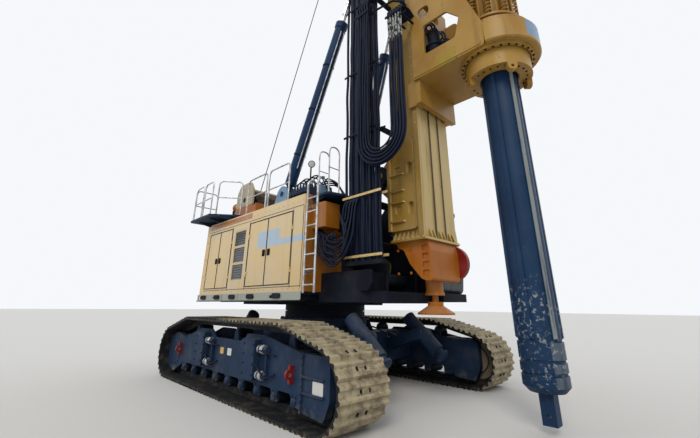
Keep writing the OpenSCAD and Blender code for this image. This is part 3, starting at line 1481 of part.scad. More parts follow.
module kelly_outer() {
    color("#33455f") difference() {
        union() {
            cyl_z(kelly_x, 0, kelly_r, kelly_z0 + seat, kelly_z1);
            // Drive ribs with tapered ends
            round_kelly(kelly_ribs, 0.5)
                side_plate([[kelly_r - 10, kelly_z0 + 20], [kelly_r + kelly_rib, kelly_z0 + 60],
                    [kelly_r + kelly_rib, kelly_z1 - 90], [kelly_r - 10, kelly_z1 - 60]], -35, 35);
            turned(kelly_x, [[kelly_r - 20, kelly_z1 - 100 + seat], [420, kelly_z1 - 100 + seat],
                [420, kelly_z1 - 25], [395, kelly_z1], [kelly_r - 20, kelly_z1]]);
        }
        cyl_z(kelly_x, 0, kelly_r - 28, kelly_z0 - 10, kelly_z1 - 200);
    }
}

module kelly_inner() {
    color("#33455f") {
        difference() {
            cyl_z(kelly_x, 0, kelly_r - 48, kelly_z0 - 10, kelly_z1 - 300);
            cyl_z(kelly_x, 0, kelly_r - 78, kelly_z0 + 20, kelly_z1 - 290);
        }
        difference() {
            turned(kelly_x, [
                [0, collar_z0 - 60], [250, collar_z0 - 60], [collar_r, collar_z0 + 20], [collar_r, 760],
                    [collar_r - 18, 770], [collar_r - 18, 800], [collar_r, 810], [collar_r, 930],
                    [collar_r - 18, 940], [collar_r - 18, 970], [collar_r, 980], [collar_r, kelly_z0],
                    [0, kelly_z0]]);
        }
        difference() {
            box([kelly_x - stub_w / 2, -stub_w / 2, stub_z0], [kelly_x + stub_w / 2, stub_w / 2,
                collar_z0 - 59]);
            cyl_y(kelly_x, stub_pin_z, stub_pin_r, -200, 200);
        }
    }
}

stub_pin_z = 230;
stub_pin_r = 32;

carbody();
slew_ring();
side_frame_right();
side_frame_left();
track_right();
track_left();
rollers();
end_wheels();
tie_lugs();
support_leg_fr();
support_leg_fl();
support_leg_rr();
support_leg_rl();
deck();
counterweight();
engine_block();
house();
louvres();
door_right_rear();
door_right_mid();
door_right_fore();
door_right_front();
door_left_rear();
door_left_mid();
door_left_front();
cab_shell();
cab_door();
cab_glass();
cab_seat();
front_frame();
walkway();
railings();
ladder();
cooler();
winch_frame();
winch_drum();
stay_brackets();
mast_foot();
mast_lower();
mast_upper();
mast_bracket();
mast_head();
head_sheaves();
rear_head_sheave();
foot_sheave();
foot_jack();
hose_bundle();
hose_loops();
stay_barrel_right();
stay_barrel_left();
stay_rod_right();
stay_rod_left();
head_sledge();
head_gearbox();
head_motors();
drive_sleeve();
spring_pack();
kelly_guide();
kelly_outer();
kelly_inner();
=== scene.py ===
# %% [markdown]
# # Rotary piling rig
# The CAD model brings every frame, joint and big plate. This lesson dresses it:
# paint with dust and rain marks, hoses, ropes, bolts, seams, handles and lamps.
# First the imported model is loaded as a fixed frame.

# %% Load the frame
import json
import math
import random

import bmesh
import bpy
from mathutils import Matrix, Vector


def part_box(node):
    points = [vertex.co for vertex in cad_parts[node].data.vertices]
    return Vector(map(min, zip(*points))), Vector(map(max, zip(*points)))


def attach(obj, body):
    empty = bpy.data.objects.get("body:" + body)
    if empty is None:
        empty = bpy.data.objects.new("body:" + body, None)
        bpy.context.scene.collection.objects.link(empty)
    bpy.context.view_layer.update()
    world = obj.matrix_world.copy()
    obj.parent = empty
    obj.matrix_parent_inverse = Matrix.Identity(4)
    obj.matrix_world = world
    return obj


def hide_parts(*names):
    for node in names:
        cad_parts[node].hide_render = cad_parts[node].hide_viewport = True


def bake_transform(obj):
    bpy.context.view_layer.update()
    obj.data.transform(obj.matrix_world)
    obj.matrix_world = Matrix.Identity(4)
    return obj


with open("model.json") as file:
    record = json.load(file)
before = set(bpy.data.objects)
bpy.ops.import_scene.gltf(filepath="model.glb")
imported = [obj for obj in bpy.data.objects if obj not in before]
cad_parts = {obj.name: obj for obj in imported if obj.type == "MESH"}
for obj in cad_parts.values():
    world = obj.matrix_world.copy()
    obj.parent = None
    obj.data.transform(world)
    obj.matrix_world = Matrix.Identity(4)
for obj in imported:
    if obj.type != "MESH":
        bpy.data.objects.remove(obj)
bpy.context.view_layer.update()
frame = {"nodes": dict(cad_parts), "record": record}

nodes = frame["nodes"]

# %% [markdown]
# ## Camera
# The picture was taken from a person's height, close in front of the right
# track, with a wide lens tilted up. The frame is 700 pixels wide, so a focal
# length in pixels becomes a lens on Blender's 36 mm sensor.

# %% Camera
PICTURE_W = 700
FOCAL_PX = 349.5
YAW, PITCH, ROLL = math.radians(135.98), math.radians(19.3), math.radians(0.56)

forward = Vector((math.cos(YAW) * math.cos(PITCH), math.sin(YAW) * math.cos(PITCH), math.sin(PITCH)))
level = Vector((math.sin(YAW), -math.cos(YAW), 0))
upward = level.cross(forward)
right = math.cos(ROLL) * level + math.sin(ROLL) * upward
up = -math.sin(ROLL) * level + math.cos(ROLL) * upward

CAMERA_PLACE = (7.228, -6.153, 1.685)
camera_data = bpy.data.cameras.new("camera")
camera_data.lens = FOCAL_PX / PICTURE_W * camera_data.sensor_width
camera_data.shift_y = -0.05
camera_data.clip_end = 500
camera = bpy.data.objects.new("camera", camera_data)
bpy.context.scene.collection.objects.link(camera)
turn = Matrix((right, up, -forward)).transposed().to_4x4()
camera.matrix_world = Matrix.Translation(CAMERA_PLACE) @ turn
bpy.context.scene.camera = camera
bpy.context.scene.view_settings.view_transform = "Standard"
print("lens", round(camera_data.lens, 2), "mm")

# %% [markdown]
# ## Light
# Open daylight comes from everywhere, with the sun low at the front right. A
# wide sun stands in for it, two weaker ones for the open sky, and the world fills
# the shade. The world shows white to the camera and to reflections, but lights
# the rig at a plain level.

# %% Light
world = bpy.data.worlds.new("sky")
bpy.context.scene.world = world
world.use_nodes = True
sky = world.node_tree
sky_light = sky.nodes["Background"]
sky_light.inputs["Color"].default_value = (0.93, 0.96, 1.0, 1)
sky_light.inputs["Strength"].default_value = 0.62
sky_white = sky.nodes.new("ShaderNodeBackground")
sky_white.inputs["Color"].default_value = (0.92, 0.94, 0.97, 1)
sky_white.inputs["Strength"].default_value = 1.0
ray_kind = sky.nodes.new("ShaderNodeLightPath")
seen = ray_kind.outputs["Is Camera Ray"]
for kind in ("Is Glossy Ray", "Is Transmission Ray"):
    either = sky.nodes.new("ShaderNodeMath")
    either.operation = "MAXIMUM"
    sky.links.new(seen, either.inputs[0])
    sky.links.new(ray_kind.outputs[kind], either.inputs[1])
    seen = either.outputs[0]
sky_mix = sky.nodes.new("ShaderNodeMixShader")
sky.links.new(seen, sky_mix.inputs[0])
sky.links.new(sky_light.outputs[0], sky_mix.inputs[1])
sky.links.new(sky_white.outputs[0], sky_mix.inputs[2])
sky.links.new(sky_mix.outputs[0], sky.nodes["World Output"].inputs["Surface"])


def sun(name, place, strength, width, colour):
    """Even light from the direction of place; width is its angle in degrees, which softens the shadows."""
    data = bpy.data.lights.new(name, "SUN")
    data.energy, data.angle, data.color = strength, math.radians(width), colour
    thing = bpy.data.objects.new(name, data)
    bpy.context.scene.collection.objects.link(thing)
    thing.location = place
    thing.rotation_euler = (-Vector(place)).to_track_quat("-Z", "Y").to_euler()


sun("sun_side", (16, -24, 24), 1.35, 25, (1.0, 0.95, 0.87))
sun("sky_side", (-20, -14, 18), 0.45, 60, (0.9, 0.95, 1.0))
sun("far_side", (4, 24, 20), 0.45, 60, (0.95, 0.97, 1.0))
print("world and 3 suns")

# %% [markdown]
# ## Writing shader maths as expressions
# A finish is a tree of nodes. Wrapping a socket in a small class lets the maths
# be written with Python's operators, also with a number in front, as in 1 - mask.


# %% Sockets as values
def fill(tree, socket, term):
    """Links a Value to a socket, or writes a number, a vector or a colour into it."""
    if isinstance(term, Value):
        tree.links.new(term.socket, socket)
    elif isinstance(term, tuple) and len(term) < len(socket.default_value):
        socket.default_value = (*term, 1)
    else:
        socket.default_value = term


def operator(operation, swapped=False):
    """A method that adds one node of maths."""
    def method(self, other):
        made = self.tree.nodes.new("ShaderNodeMath")
        made.operation = operation
        for socket, term in zip(made.inputs, (other, self) if swapped else (self, other)):
            fill(self.tree, socket, term)
        return Value(self.tree, made.outputs[0])
    return method


class Value:
    """An output socket that can be added, multiplied and compared."""

    def __init__(self, tree, socket):
        self.tree, self.socket = tree, socket

    __add__ = __radd__ = operator("ADD")
    __sub__, __rsub__ = operator("SUBTRACT"), operator("SUBTRACT", swapped=True)
    __mul__ = __rmul__ = operator("MULTIPLY")
    __pow__ = operator("POWER")
    __gt__, __lt__ = operator("GREATER_THAN"), operator("LESS_THAN")
    at_most, at_least = operator("MINIMUM"), operator("MAXIMUM")

    def between(self, low, high):
        """1 from low to high and 0 outside."""
        return (self > low) * (self < high)


class Finish:
    """A material and the helpers that add nodes to it."""

    def __init__(self, name):
        self.material = bpy.data.materials.new(name)
        self.material.use_nodes = True
        self.tree = self.material.node_tree
        self.shader = self.tree.nodes["Principled BSDF"]
        self.place = self.node("ShaderNodeTexCoord", {}, {}, "Object")
        normal = self.node("ShaderNodeNewGeometry", {}, {}, "Normal")
        self.facing_front, self.facing_up = (self.axis(normal, way) for way in "XZ")
        self.along, self.across, self.height = (self.axis(self.place, way) for way in "XYZ")

    def node(self, kind, settings, sockets, output=0):
        """Any node: its type, its settings, its sockets' values or links, and the output wanted."""
        made = self.tree.nodes.new(kind)
        for key, setting in settings.items():
            setattr(made, key, setting)
        for key, term in sockets.items():
            fill(self.tree, made.inputs[key], term)
        return Value(self.tree, made.outputs[output])

    def axis(self, vector, way):
        return self.node("ShaderNodeSeparateXYZ", {}, {0: vector}, way)

    def noise(self, scale, detail=4.0, rough=0.55, stretch=(1, 1, 1)):
        where = self.node("ShaderNodeVectorMath", {"operation": "MULTIPLY"}, {0: self.place, 1: stretch})
        sockets = {"Vector": where, "Scale": scale, "Detail": detail, "Roughness": rough}
        return self.node("ShaderNodeTexNoise", {}, sockets, "Fac")

    def step(self, value, low, high):
        """0 below low, 1 above high, smooth between."""
        sockets = {"Value": value, "From Min": low, "From Max": high}
        return self.node("ShaderNodeMapRange", {"interpolation_type": "SMOOTHSTEP"}, sockets)

    def mix(self, amount, first, second):
        """A colour between two colours, given as numbers or links."""
        return self.node("ShaderNodeMix", {"data_type": "RGBA"}, {0: amount, 6: first, 7: second}, 2)

    def set(self, **terms):
        """Links or values for the shader's sockets; base_color stands for Base Color."""
        for key, term in terms.items():
            title = key.replace("_", " ").title().replace("Ior", "IOR")
            fill(self.tree, self.shader.inputs[title], term)

    def bump(self, height, strength, distance):
        sockets = {"Height": height, "Strength": strength, "Distance": distance}
        self.set(normal=self.node("ShaderNodeBump", {}, sockets))


print("shader helpers ready")

# %% [markdown]
# ## Paint that has worked outdoors
# The rig's paint is thick and a little wavy, bleached in patches, with dust on
# whatever faces up, thin rain runs down the sides, small chips and, low down,
# dried mud. One recipe makes every colour: only the tones and amounts change.

# %% Worn paint
DUST = (0.50, 0.43, 0.34)
MUD = (0.21, 0.165, 0.12)
PRIMER = (0.085, 0.06, 0.05)
ORANGE = (0.34, 0.095, 0.003)


def worn_paint(name, colour, faded, dust=0.45, runs=0.3, chips=0.60, mud_top=None, rough=0.42,
               coat=0.15, shine=0.4, cement=None, marks=None):
    """mud_top and cement are heights; marks is a function that lays other colours on the paint."""
    f = Finish(name)
    patches = f.noise(0.9, 3)
    grain = f.noise(34, 3)
    paint = f.mix(f.step(patches, 0.35, 0.7), colour, faded)
    if marks:
        paint = marks(f, paint)
    streaks = f.step(f.noise(1.0, 4, 0.6, (7, 7, 0.35)), 0.52, 0.75) * runs
    paint = f.mix(streaks, paint, tuple(c * 0.5 for c in colour))
    lying = f.step(f.facing_up, 0.25, 0.9) * f.step(f.noise(2.6, 5), 0.25, 0.7) * dust
    haze = f.step(f.noise(1.7, 5, 0.65), 0.45, 0.8) * (dust * 0.45)
    dusty = lying.at_least(haze)
    paint = f.mix(dusty, paint, DUST)
    chip = f.step(f.noise(11, 6, 0.62), chips, chips + 0.025) * f.step(f.noise(1.3, 2), 0.45, 0.6)
    paint = f.mix(chip, paint, PRIMER)
    roughness = rough + 0.12 * grain + 0.3 * dusty
    if mud_top is not None:
        splash = f.step(mud_top - f.height + 0.9 * (f.noise(3.2, 6, 0.65) - 0.5), 0, 0.35)
        paint = f.mix(splash * 0.8, paint, MUD)
        roughness = roughness + splash * 0.3
    if cement is not None:
        low, high = cement
        zone = f.step(f.height, low - 0.4, low) * f.step(high - f.height, 0, 0.5)
        spots = f.step(f.noise(16, 6, 0.7), 0.55, 0.60) * zone * f.step(f.noise(1.8, 2), 0.35, 0.6)
        paint = f.mix(spots * 0.7, paint, (0.34, 0.36, 0.37))
        roughness = roughness + spots * 0.25
    f.set(base_color=paint, roughness=roughness.at_most(0.95), coat_weight=coat)
    f.set(coat_roughness=0.25, specular_ior_level=shine)
    f.bump(f.noise(1.6, 2) * 0.7 + grain * 0.12 - chip * 0.4, 0.12, 0.02)
    return f.material


TAN_SET = {"colour": (0.58, 0.40, 0.15), "faded": (0.62, 0.46, 0.22), "coat": 0.25, "chips": 0.66,
           "dust": 0.3}
HEAD_SET = {"colour": (0.30, 0.150, 0.020), "faded": (0.37, 0.215, 0.042), "coat": 0.1, "chips": 0.65,
            "dust": 0.25, "runs": 0.4, "shine": 0.25}
DARK_SET = {"colour": (0.004, 0.007, 0.013), "faded": (0.010, 0.014, 0.024), "coat": 0, "chips": 0.68,
            "dust": 0.08, "rough": 0.55, "shine": 0.10}
tan = worn_paint("tan_paint", **TAN_SET)
head_tan = worn_paint("head_paint", **HEAD_SET)
dark = worn_paint("black_paint", **DARK_SET)
orange = worn_paint("orange_paint", ORANGE, (0.40, 0.135, 0.008), coat=0.1, chips=0.66, dust=0.2,
                    shine=0.22)
yellow = worn_paint("yellow_paint", (0.53, 0.31, 0.065), (0.60, 0.39, 0.12), dust=0.4, runs=0.5,
                    chips=0.65)
slate = worn_paint("slate_paint", (0.010, 0.024, 0.055), (0.018, 0.038, 0.080), dust=0.16, chips=0.66,
                   mud_top=0.30, rough=0.55, coat=0, shine=0.12)
stay_blue = worn_paint("stay_paint", (0.004, 0.022, 0.072), (0.008, 0.034, 0.095), dust=0.0, runs=0.1,
                       chips=0.70, rough=0.40, coat=0, shine=0.18)
pale_blue = worn_paint("pale_blue", (0.13, 0.24, 0.38), (0.18, 0.30, 0.44), chips=0.66)
red = worn_paint("red_paint", (0.17, 0.008, 0.007), (0.24, 0.014, 0.012), chips=0.66, dust=0.15,
                 shine=0.2)
print("9 paints")

# %% [markdown]
# ## Paint with fields of other colours
# The house has an orange front wall, a plain pale blue field and a stripe on its
# right side, and the cab, winch, mast and rotary head have fields too. Three of
# the marks here are painted light. An orange band on the rear roof curb is painted
# shade under the walkway. The mast's paler front face is a painted highlight. The
# kelly's pale rib strips are rubbed wear and also a painted highlight of its lit side.
# They are sprayed over doors and frame alike, so they are masks of the place on
# the model and not pieces: a door that swings open takes its share of the field
# along.

# %% Fields of colour
KELLY_X = 5.07


def house_fields(f, paint):
    right_side = f.across < -1.6
    field = right_side * f.along.between(-0.80, 0.20) * f.height.between(3.03, 3.44)
    stripe = right_side * f.along.between(0.20, 1.16) * f.height.between(3.03, 3.17)
    paint = f.mix(field.at_least(stripe) * 0.85, paint, (0.30, 0.44, 0.60))
    # An orange-brown band on the rear roof curb, under the walkway: painted shade of the walkway.
    walkway_shade_band = f.height.between(3.90, 4.05) * (f.along < -1.2)
    return f.mix((f.along > 1.13).at_least(walkway_shade_band), paint, (0.34, 0.115, 0.006))


def deck_fields(f, paint):
    rim = (f.across < -1.62).at_least(f.across > 1.62).at_least(f.along < -4.16)
    return f.mix(rim * f.height.between(1.80, 2.0) * (f.along < 1.14), paint, (0.36, 0.38, 0.34))


def louvre_fields(f, paint):
    return f.mix(f.across < -1.642, paint, (0.58, 0.45, 0.25))


def from_kelly(f):
    """The squared distance from the kelly's axis."""
    return (f.along - KELLY_X) ** 2 + f.across ** 2


def kelly_fields(f, paint):
    streaks = f.step(f.noise(5, 5, 0.6, (1, 1, 0.12)), 0.34, 0.55)
    # Pale strips on the kelly's outer ribs, kept to the side toward +x: rubbed wear and a painted highlight
    # of the lit side.
    rubbed_and_lit = f.step(from_kelly(f) ** 0.5, 0.318, 0.328) * streaks * (f.along > 5.29)
    return f.mix(rubbed_and_lit * 0.75, paint, (0.30, 0.32, 0.30))


def gearbox_fields(f, paint):
    band = f.across.between(-0.34, 0.62) * f.height.between(6.38, 6.72) * (f.along > 5.3)
    return f.mix((from_kelly(f) > 0.62) * band * 0.85, paint, (0.13, 0.27, 0.46))


def sledge_fields(f, paint):
    patch = f.along.between(4.15, 4.62) * f.height.between(6.05, 6.62) * f.step(f.noise(2.2, 3), 0.3, 0.4)
    return f.mix(patch * 0.7, paint, (0.30, 0.22, 0.012))


def winch_fields(f, paint):
    return f.mix(f.height < 4.58, paint, ORANGE)


# The mast's front face is painted paler than its sides: a painted highlight of the lit front.
def mast_lit_front(f, paint):
    return f.mix(f.step(f.facing_front, 0.5, 0.85), paint, (0.54, 0.40, 0.165))


def cab_fields(f, paint):
    return f.mix(f.height < 2.42, paint, (0.010, 0.016, 0.028))


house_tan = worn_paint("house_paint", (0.60, 0.43, 0.19), (0.58, 0.46, 0.27), coat=0.3, rough=0.34,
                       dust=0.3, chips=0.68, runs=0.18, marks=house_fields)
deck_dark = worn_paint("deck_paint", **DARK_SET, marks=deck_fields)
louvre_paint = worn_paint("louvre_paint", (0.055, 0.062, 0.068), (0.085, 0.09, 0.095), dust=0.5,
                          marks=louvre_fields)
navy = worn_paint("blue_steel", (0.006, 0.026, 0.070), (0.011, 0.038, 0.092), dust=0.03, runs=0.15,
                  chips=0.66, cement=(0.75, 2.3), coat=0, shine=0.16, marks=kelly_fields)
gearbox_tan = worn_paint("gearbox_paint", **HEAD_SET, marks=gearbox_fields)
sledge_tan = worn_paint("sledge_paint", **HEAD_SET, marks=sledge_fields)
cab_tan = worn_paint("cab_paint", **TAN_SET, marks=cab_fields)
mast_tan = worn_paint("mast_paint", (0.25, 0.140, 0.018), (0.33, 0.205, 0.040), coat=0.1, chips=0.66,
                      dust=0.3, runs=0.5, shine=0.25, marks=mast_lit_front)
winch_paint = worn_paint("winch_paint", (0.36, 0.31, 0.20), (0.42, 0.37, 0.26), chips=0.66, dust=0.2,
                         runs=0.4, shine=0.25, marks=winch_fields)
print("9 paints with fields")

# %% [markdown]
# ## Bare metal, rubber and glass
# Shoes run in mud and are polished only where they touch the ground. Rods are
# chromed, rails are galvanised, hoses are matt with a dusty bloom.


# %% Other finishes
def bare_metal(name, tone, dirt, dirt_amount, rough, metallic=1.0, scale=6.0):
    f = Finish(name)
    cover = f.step(f.noise(scale, 6, 0.65), 0.5 - dirt_amount * 0.3, 0.75 - dirt_amount * 0.3)
    fine = f.noise(60, 3)
    f.set(base_color=f.mix(cover, tone, dirt), metallic=metallic * (1 - cover))
    f.set(roughness=rough + 0.4 * cover + 0.1 * fine)
    f.bump(cover * 0.6 + fine * 0.3, 0.25, 0.01)
    return f.material


def rubber(name, tone, splash=None):
    """splash is a function of the finish that says where pale cement has hit."""
    f = Finish(name)
    bloom = f.step(f.noise(4, 5, 0.6), 0.4, 0.8)
    skin = f.mix(bloom * 0.06, tone, (0.16, 0.15, 0.14))
    if splash:
        skin = f.mix(splash(f) * 0.9, skin, (0.42, 0.42, 0.40))
    f.set(base_color=skin, roughness=0.5 + 0.25 * bloom, specular_ior_level=0.16)
    f.bump(f.noise(140, 2), 0.15, 0.002)
    return f.material


def cement_splash(f):
    return f.step(f.noise(14, 6, 0.65), 0.46, 0.54) * f.height.between(7.15, 7.75) * (f.along > 3.2)


track_steel = bare_metal("track_steel", (0.20, 0.18, 0.14), (0.19, 0.155, 0.105), 0.7, 0.45, 0.6, 4)
bare_steel = bare_metal("bare_steel", (0.52, 0.54, 0.56), (0.34, 0.31, 0.27), 0.25, 0.38)
rod_chrome = bare_metal("rod_chrome", (0.75, 0.76, 0.78), (0.3, 0.28, 0.26), 0.05, 0.14)
engine_iron = bare_metal("engine_iron", (0.16, 0.16, 0.155), (0.10, 0.09, 0.08), 0.5, 0.6, 0.4)
rope_wire = bare_metal("rope_wire", (0.14, 0.12, 0.10), (0.07, 0.05, 0.04), 0.55, 0.5, 0.6, 30)
hose_rubber = rubber("hose_rubber", (0.003, 0.008, 0.024))
splashed_rubber = rubber("splashed_rubber", (0.003, 0.008, 0.024), splash=cement_splash)
mud_finish = rubber("dry_mud", (0.24, 0.20, 0.13))
white_plate = rubber("white_plate", (0.60, 0.60, 0.57))
lamp_glass = rubber("lamp_glass", (0.55, 0.56, 0.55))

glass_finish = Finish("window_glass")
glass_finish.set(base_color=(0.10, 0.13, 0.15), roughness=0.05, metallic=0.0, alpha=0.45)
window_glass = glass_finish.material
print("11 finishes of metal, rubber and glass")

# %% [markdown]
# ## Seat cloth
# Cloth is crossed threads. Two wave patterns at right angles make the bump, and
# worn places are paler.


# %% Woven cloth
def woven(name, tone, light):
    f = Finish(name)
    threads = {"Vector": f.place, "Scale": 260.0, "Distortion": 0.4}
    warp, weft = (f.node("ShaderNodeTexWave", {"bands_direction": way}, threads, "Fac") for way in "YZ")
    worn = f.step(f.noise(5, 4), 0.4, 0.8)
    f.set(base_color=f.mix(worn * 0.5 + 0.2 * warp, tone, light), roughness=0.85)
    f.bump(warp + weft, 0.25, 0.001)
    return f.material


seat_cloth = woven("seat_cloth", (0.022, 0.025, 0.03), (0.07, 0.075, 0.08))
print("1 cloth")

# %% [markdown]
# ## Track belt
# The track needs two looks on one solid. Outside, the shoes are caked with pale
# dry mud and rubbed on their bars, and toward the rear they darken, partly with
# less dust and partly as painted shade. Inside, links and pins stay dark and oily.
# The mask is the share of the surface's direction that points away from the belt's
# middle, so it needs no second piece.


# %% Finish of the belt
def track_belt(name):
    f = Finish(name)
    outside = f.step(f.facing_front * f.along + f.facing_up * (f.height - 0.58), 0.10, 0.32)
    caked = f.step(f.noise(5, 6, 0.65), 0.30, 0.62)
    fine = f.noise(45, 4)
    shoe = f.mix(caked, (0.15, 0.120, 0.080), (0.42, 0.36, 0.235))
    # Toward the rear the shoes darken: partly less dust, partly painted shade.
    shoe = f.mix(f.step(f.along, -1.2, 1.6), f.mix(0.55, shoe, (0.05, 0.045, 0.04)), shoe)
    inside = f.mix(f.step(f.noise(7, 5), 0.45, 0.7), (0.008, 0.010, 0.012), (0.045, 0.038, 0.030))
    f.set(base_color=f.mix(outside, inside, shoe), roughness=0.62 + 0.25 * caked * outside)
    f.set(metallic=0.15 * (1 - caked), specular_ior_level=0.2)
    f.bump(caked * 0.7 + fine * 0.3, 0.35, 0.012)
    return f.material


belt_finish = track_belt("belt_finish")
print("1 belt finish")

# %% [markdown]
# ## Finishes on the CAD nodes
# Each CAD node names a material slot, and most get the finish of that name. Some
# have a finish of their own, found here by the first letters of their names.

# %% Dressing the CAD nodes
SLOT_FINISH = {
    "slate_paint": slate, "tan_paint": tan, "orange_paint": orange, "yellow_paint": yellow,
    "black_paint": dark, "blue_steel": navy, "pale_blue": pale_blue, "red_paint": red,
    "track_steel": track_steel, "bare_steel": bare_steel, "rod_chrome": rod_chrome,
    "hose_rubber": hose_rubber, "window_glass": window_glass, "seat_cloth": seat_cloth,
    "engine_iron": engine_iron,
}
OWN_FINISH = {
    "mast_lower": mast_tan, "mast_upper": mast_tan, "mast_bracket": mast_tan, "mast_head": mast_tan,
    "house": house_tan, "door_": house_tan, "deck": deck_dark, "louvres": louvre_paint, "cooler": orange,
    "head_gearbox": gearbox_tan, "head_sledge": sledge_tan, "drive_sleeve": head_tan,
    "cab_shell": cab_tan, "foot_jack": orange, "winch_frame": winch_paint, "track_": belt_finish,
    "stay_barrel": stay_blue, "stay_rod": rod_chrome,
}
slot_of = {s["node"]: s["material_slot"] for s in frame["record"]["subparts"]}
for name, thing in nodes.items():
    own = [finish for start, finish in OWN_FINISH.items() if name.startswith(start)]
    thing.data.materials.clear()
    thing.data.materials.append(own[0] if own else SLOT_FINISH[slot_of[name]])
print("finishes on", len(nodes), "CAD nodes")

# %% [markdown]
# ## Helpers for shapes
# Most small parts are one of three things: a bar or hose swept along a path, a
# profile turned on an axis, or a rounded plate. Three functions make them, and
# one turns the mesh into a piece that rides on a body of the CAD model. Bolts,
# rings and rows come so often that they have functions too.

# %% Shapes
def piece(name, bm, finish, body, to_body=None, stands_for=()):
    """The mesh becomes an object that rides on a body; given to_body, it is baked in place and rides on
    neither.
    """
    bmesh.ops.recalc_face_normals(bm, faces=bm.faces)
    mesh = bpy.data.meshes.new(name)
    bm.to_mesh(mesh)
    bm.free()
    mesh.shade_smooth()
    mesh.set_sharp_from_angle(angle=math.radians(35))
    mesh.materials.append(finish)
    thing = bpy.data.objects.new(name, mesh)
    bpy.context.scene.collection.objects.link(thing)
    if to_body:
        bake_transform(thing)
    else:
        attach(thing, body)
    if stands_for:
        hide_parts(*stands_for)
    print(name, len(mesh.polygons), "faces")
    return thing


def flow(knots, per=6):
    """A smooth path through the knots."""
    knots = [Vector(k) for k in knots]
    line = [2 * knots[0] - knots[1], *knots, 2 * knots[-1] - knots[-2]]
    path = []
    for a, b, c, d in zip(line, line[1:], line[2:], line[3:]):
        for k in range(per):
            t = k / per
            square, cube = 2 * a - 5 * b + 4 * c - d, 3 * b - a - 3 * c + d
            path.append(0.5 * (2 * b + (c - a) * t + square * t * t + cube * t ** 3))
    return path + [knots[-1]]


def ring(x, y, radius, count, first=0.0):
    """Points spread evenly round a circle."""
    turns = [first + 2 * math.pi * k / count for k in range(count)]
    return [(x + radius * math.cos(a), y + radius * math.sin(a)) for a in turns]


def row(start, end, count):
    """Points spread evenly along a line."""
    return [Vector(start).lerp(Vector(end), k / (count - 1)) for k in range(count)]


def at(x, y, z):
    """An upright place."""
    return Matrix.Translation((x, y, z))


def facing(point, normal, up=(0, 0, 1)):
    """A place whose Z looks along the normal."""
    z = Vector(normal).normalized()
    x = Vector(up).cross(z)
    x = x.normalized() if x.length > 0.01 else z.orthogonal().normalized()
    return Matrix.Translation(point) @ Matrix((x, z.cross(x), z)).transposed().to_4x4()


def skin(bm, rings):
    """Faces between neighbouring rings; a ring of one point makes a tip."""
    for one, two in zip(rings, rings[1:]):
        for k in range(max(len(one), len(two))):
            j = k + 1
            corners = [one[k % len(one)], one[j % len(one)], two[j % len(two)], two[k % len(two)]]
            bm.faces.new(list(dict.fromkeys(corners)))


def sweep(bm, path, radius, sides=8):
    """A round bar, rope or hose along a path, with closed ends."""
    path = [Vector(p) for p in path]
    rings, across = [], None
    for i, point in enumerate(path):
        ahead = (path[min(i + 1, len(path) - 1)] - path[max(i - 1, 0)]).normalized()
        across = ahead.orthogonal() if across is None else across - ahead * across.dot(ahead)
        across.normalize()
        side = ahead.cross(across)
        spokes = [radius * (x * across + y * side) for x, y in ring(0, 0, 1, sides)]
        rings.append([bm.verts.new(point + spoke) for spoke in spokes])
    skin(bm, rings)
    bm.faces.new(rings[0][::-1])
    bm.faces.new(rings[-1])


def hose(bm, radius, knots, per=6, sides=8):
    """A sweep along the smooth path through the knots."""
    sweep(bm, flow(knots, per), radius, sides)


def turned(bm, place, profile, sides=16):
    """A profile of (radius, height) turned on the place's Z axis."""
    rings = []
    for radius, height in profile:
        circle = ring(0, 0, radius, sides if radius else 1)
        rings.append([bm.verts.new(place @ Vector((x, y, height))) for x, y in circle])
    skin(bm, rings)


def plate(bm, place, width, height, corner, depth, edge=0.004, steps=4):
    """A rounded plate, raised along the place's Z, with a small bevel on the upper edge."""
    outline = []
    for cx, cy, first in ((1, 1, 0), (-1, 1, 90), (-1, -1, 180), (1, -1, 270)):
        for k in range(steps + 1):
            a = math.radians(first + 90 * k / steps)
            x, y = cx * (width / 2 - corner), cy * (height / 2 - corner)
            outline.append(Vector((x + corner * math.cos(a), y + corner * math.sin(a))))
    reach = max(p.length for p in outline)
    rings = []
    for scale, rise in ((1, 0), (1, depth - edge), (1 - edge / reach, depth)):
        rings.append([bm.verts.new(place @ Vector((*(p * scale), rise))) for p in outline])
    skin(bm, rings)
    bm.faces.new(rings[0][::-1])
    bm.faces.new(rings[-1])


def bolts(bm, points, normal, size):
    """Hexagon heads on washers; size is half a head's width."""
    for point in points:
        place = facing(point, normal)
        turned(bm, place, [(size * 1.5, 0), (size * 1.5, size * 0.25), (size, size * 0.25)], 10)
        turned(bm, place, [(size, size * 0.2), (size, size), (size * 0.8, size * 1.2), (0, size * 1.2)], 6)


print("shape helpers ready")

# %% [markdown]
# ## Track bolts and mud
# Each shoe is held by four bolts between its bars, and dry mud sits in the
# corners. The shoes' places are worked out from the same four circles as the
# CAD belt, so every bolt stands on its shoe.

# %% Places along the belt
WHEEL_X, WHEEL_Z, BELT_R = 2.93, 0.582, 0.517
RETURN_X, RETURN_Z, RETURN_R = 1.95, 1.155, 0.2003
CIRCLES = [(-WHEEL_X, WHEEL_Z, BELT_R), (WHEEL_X, WHEEL_Z, BELT_R),
           (RETURN_X, RETURN_Z, RETURN_R), (-RETURN_X, RETURN_Z, RETURN_R)]
TRACK_Y, SHOE_T, SHOE_PITCH = 2.2, 0.030, 0.27


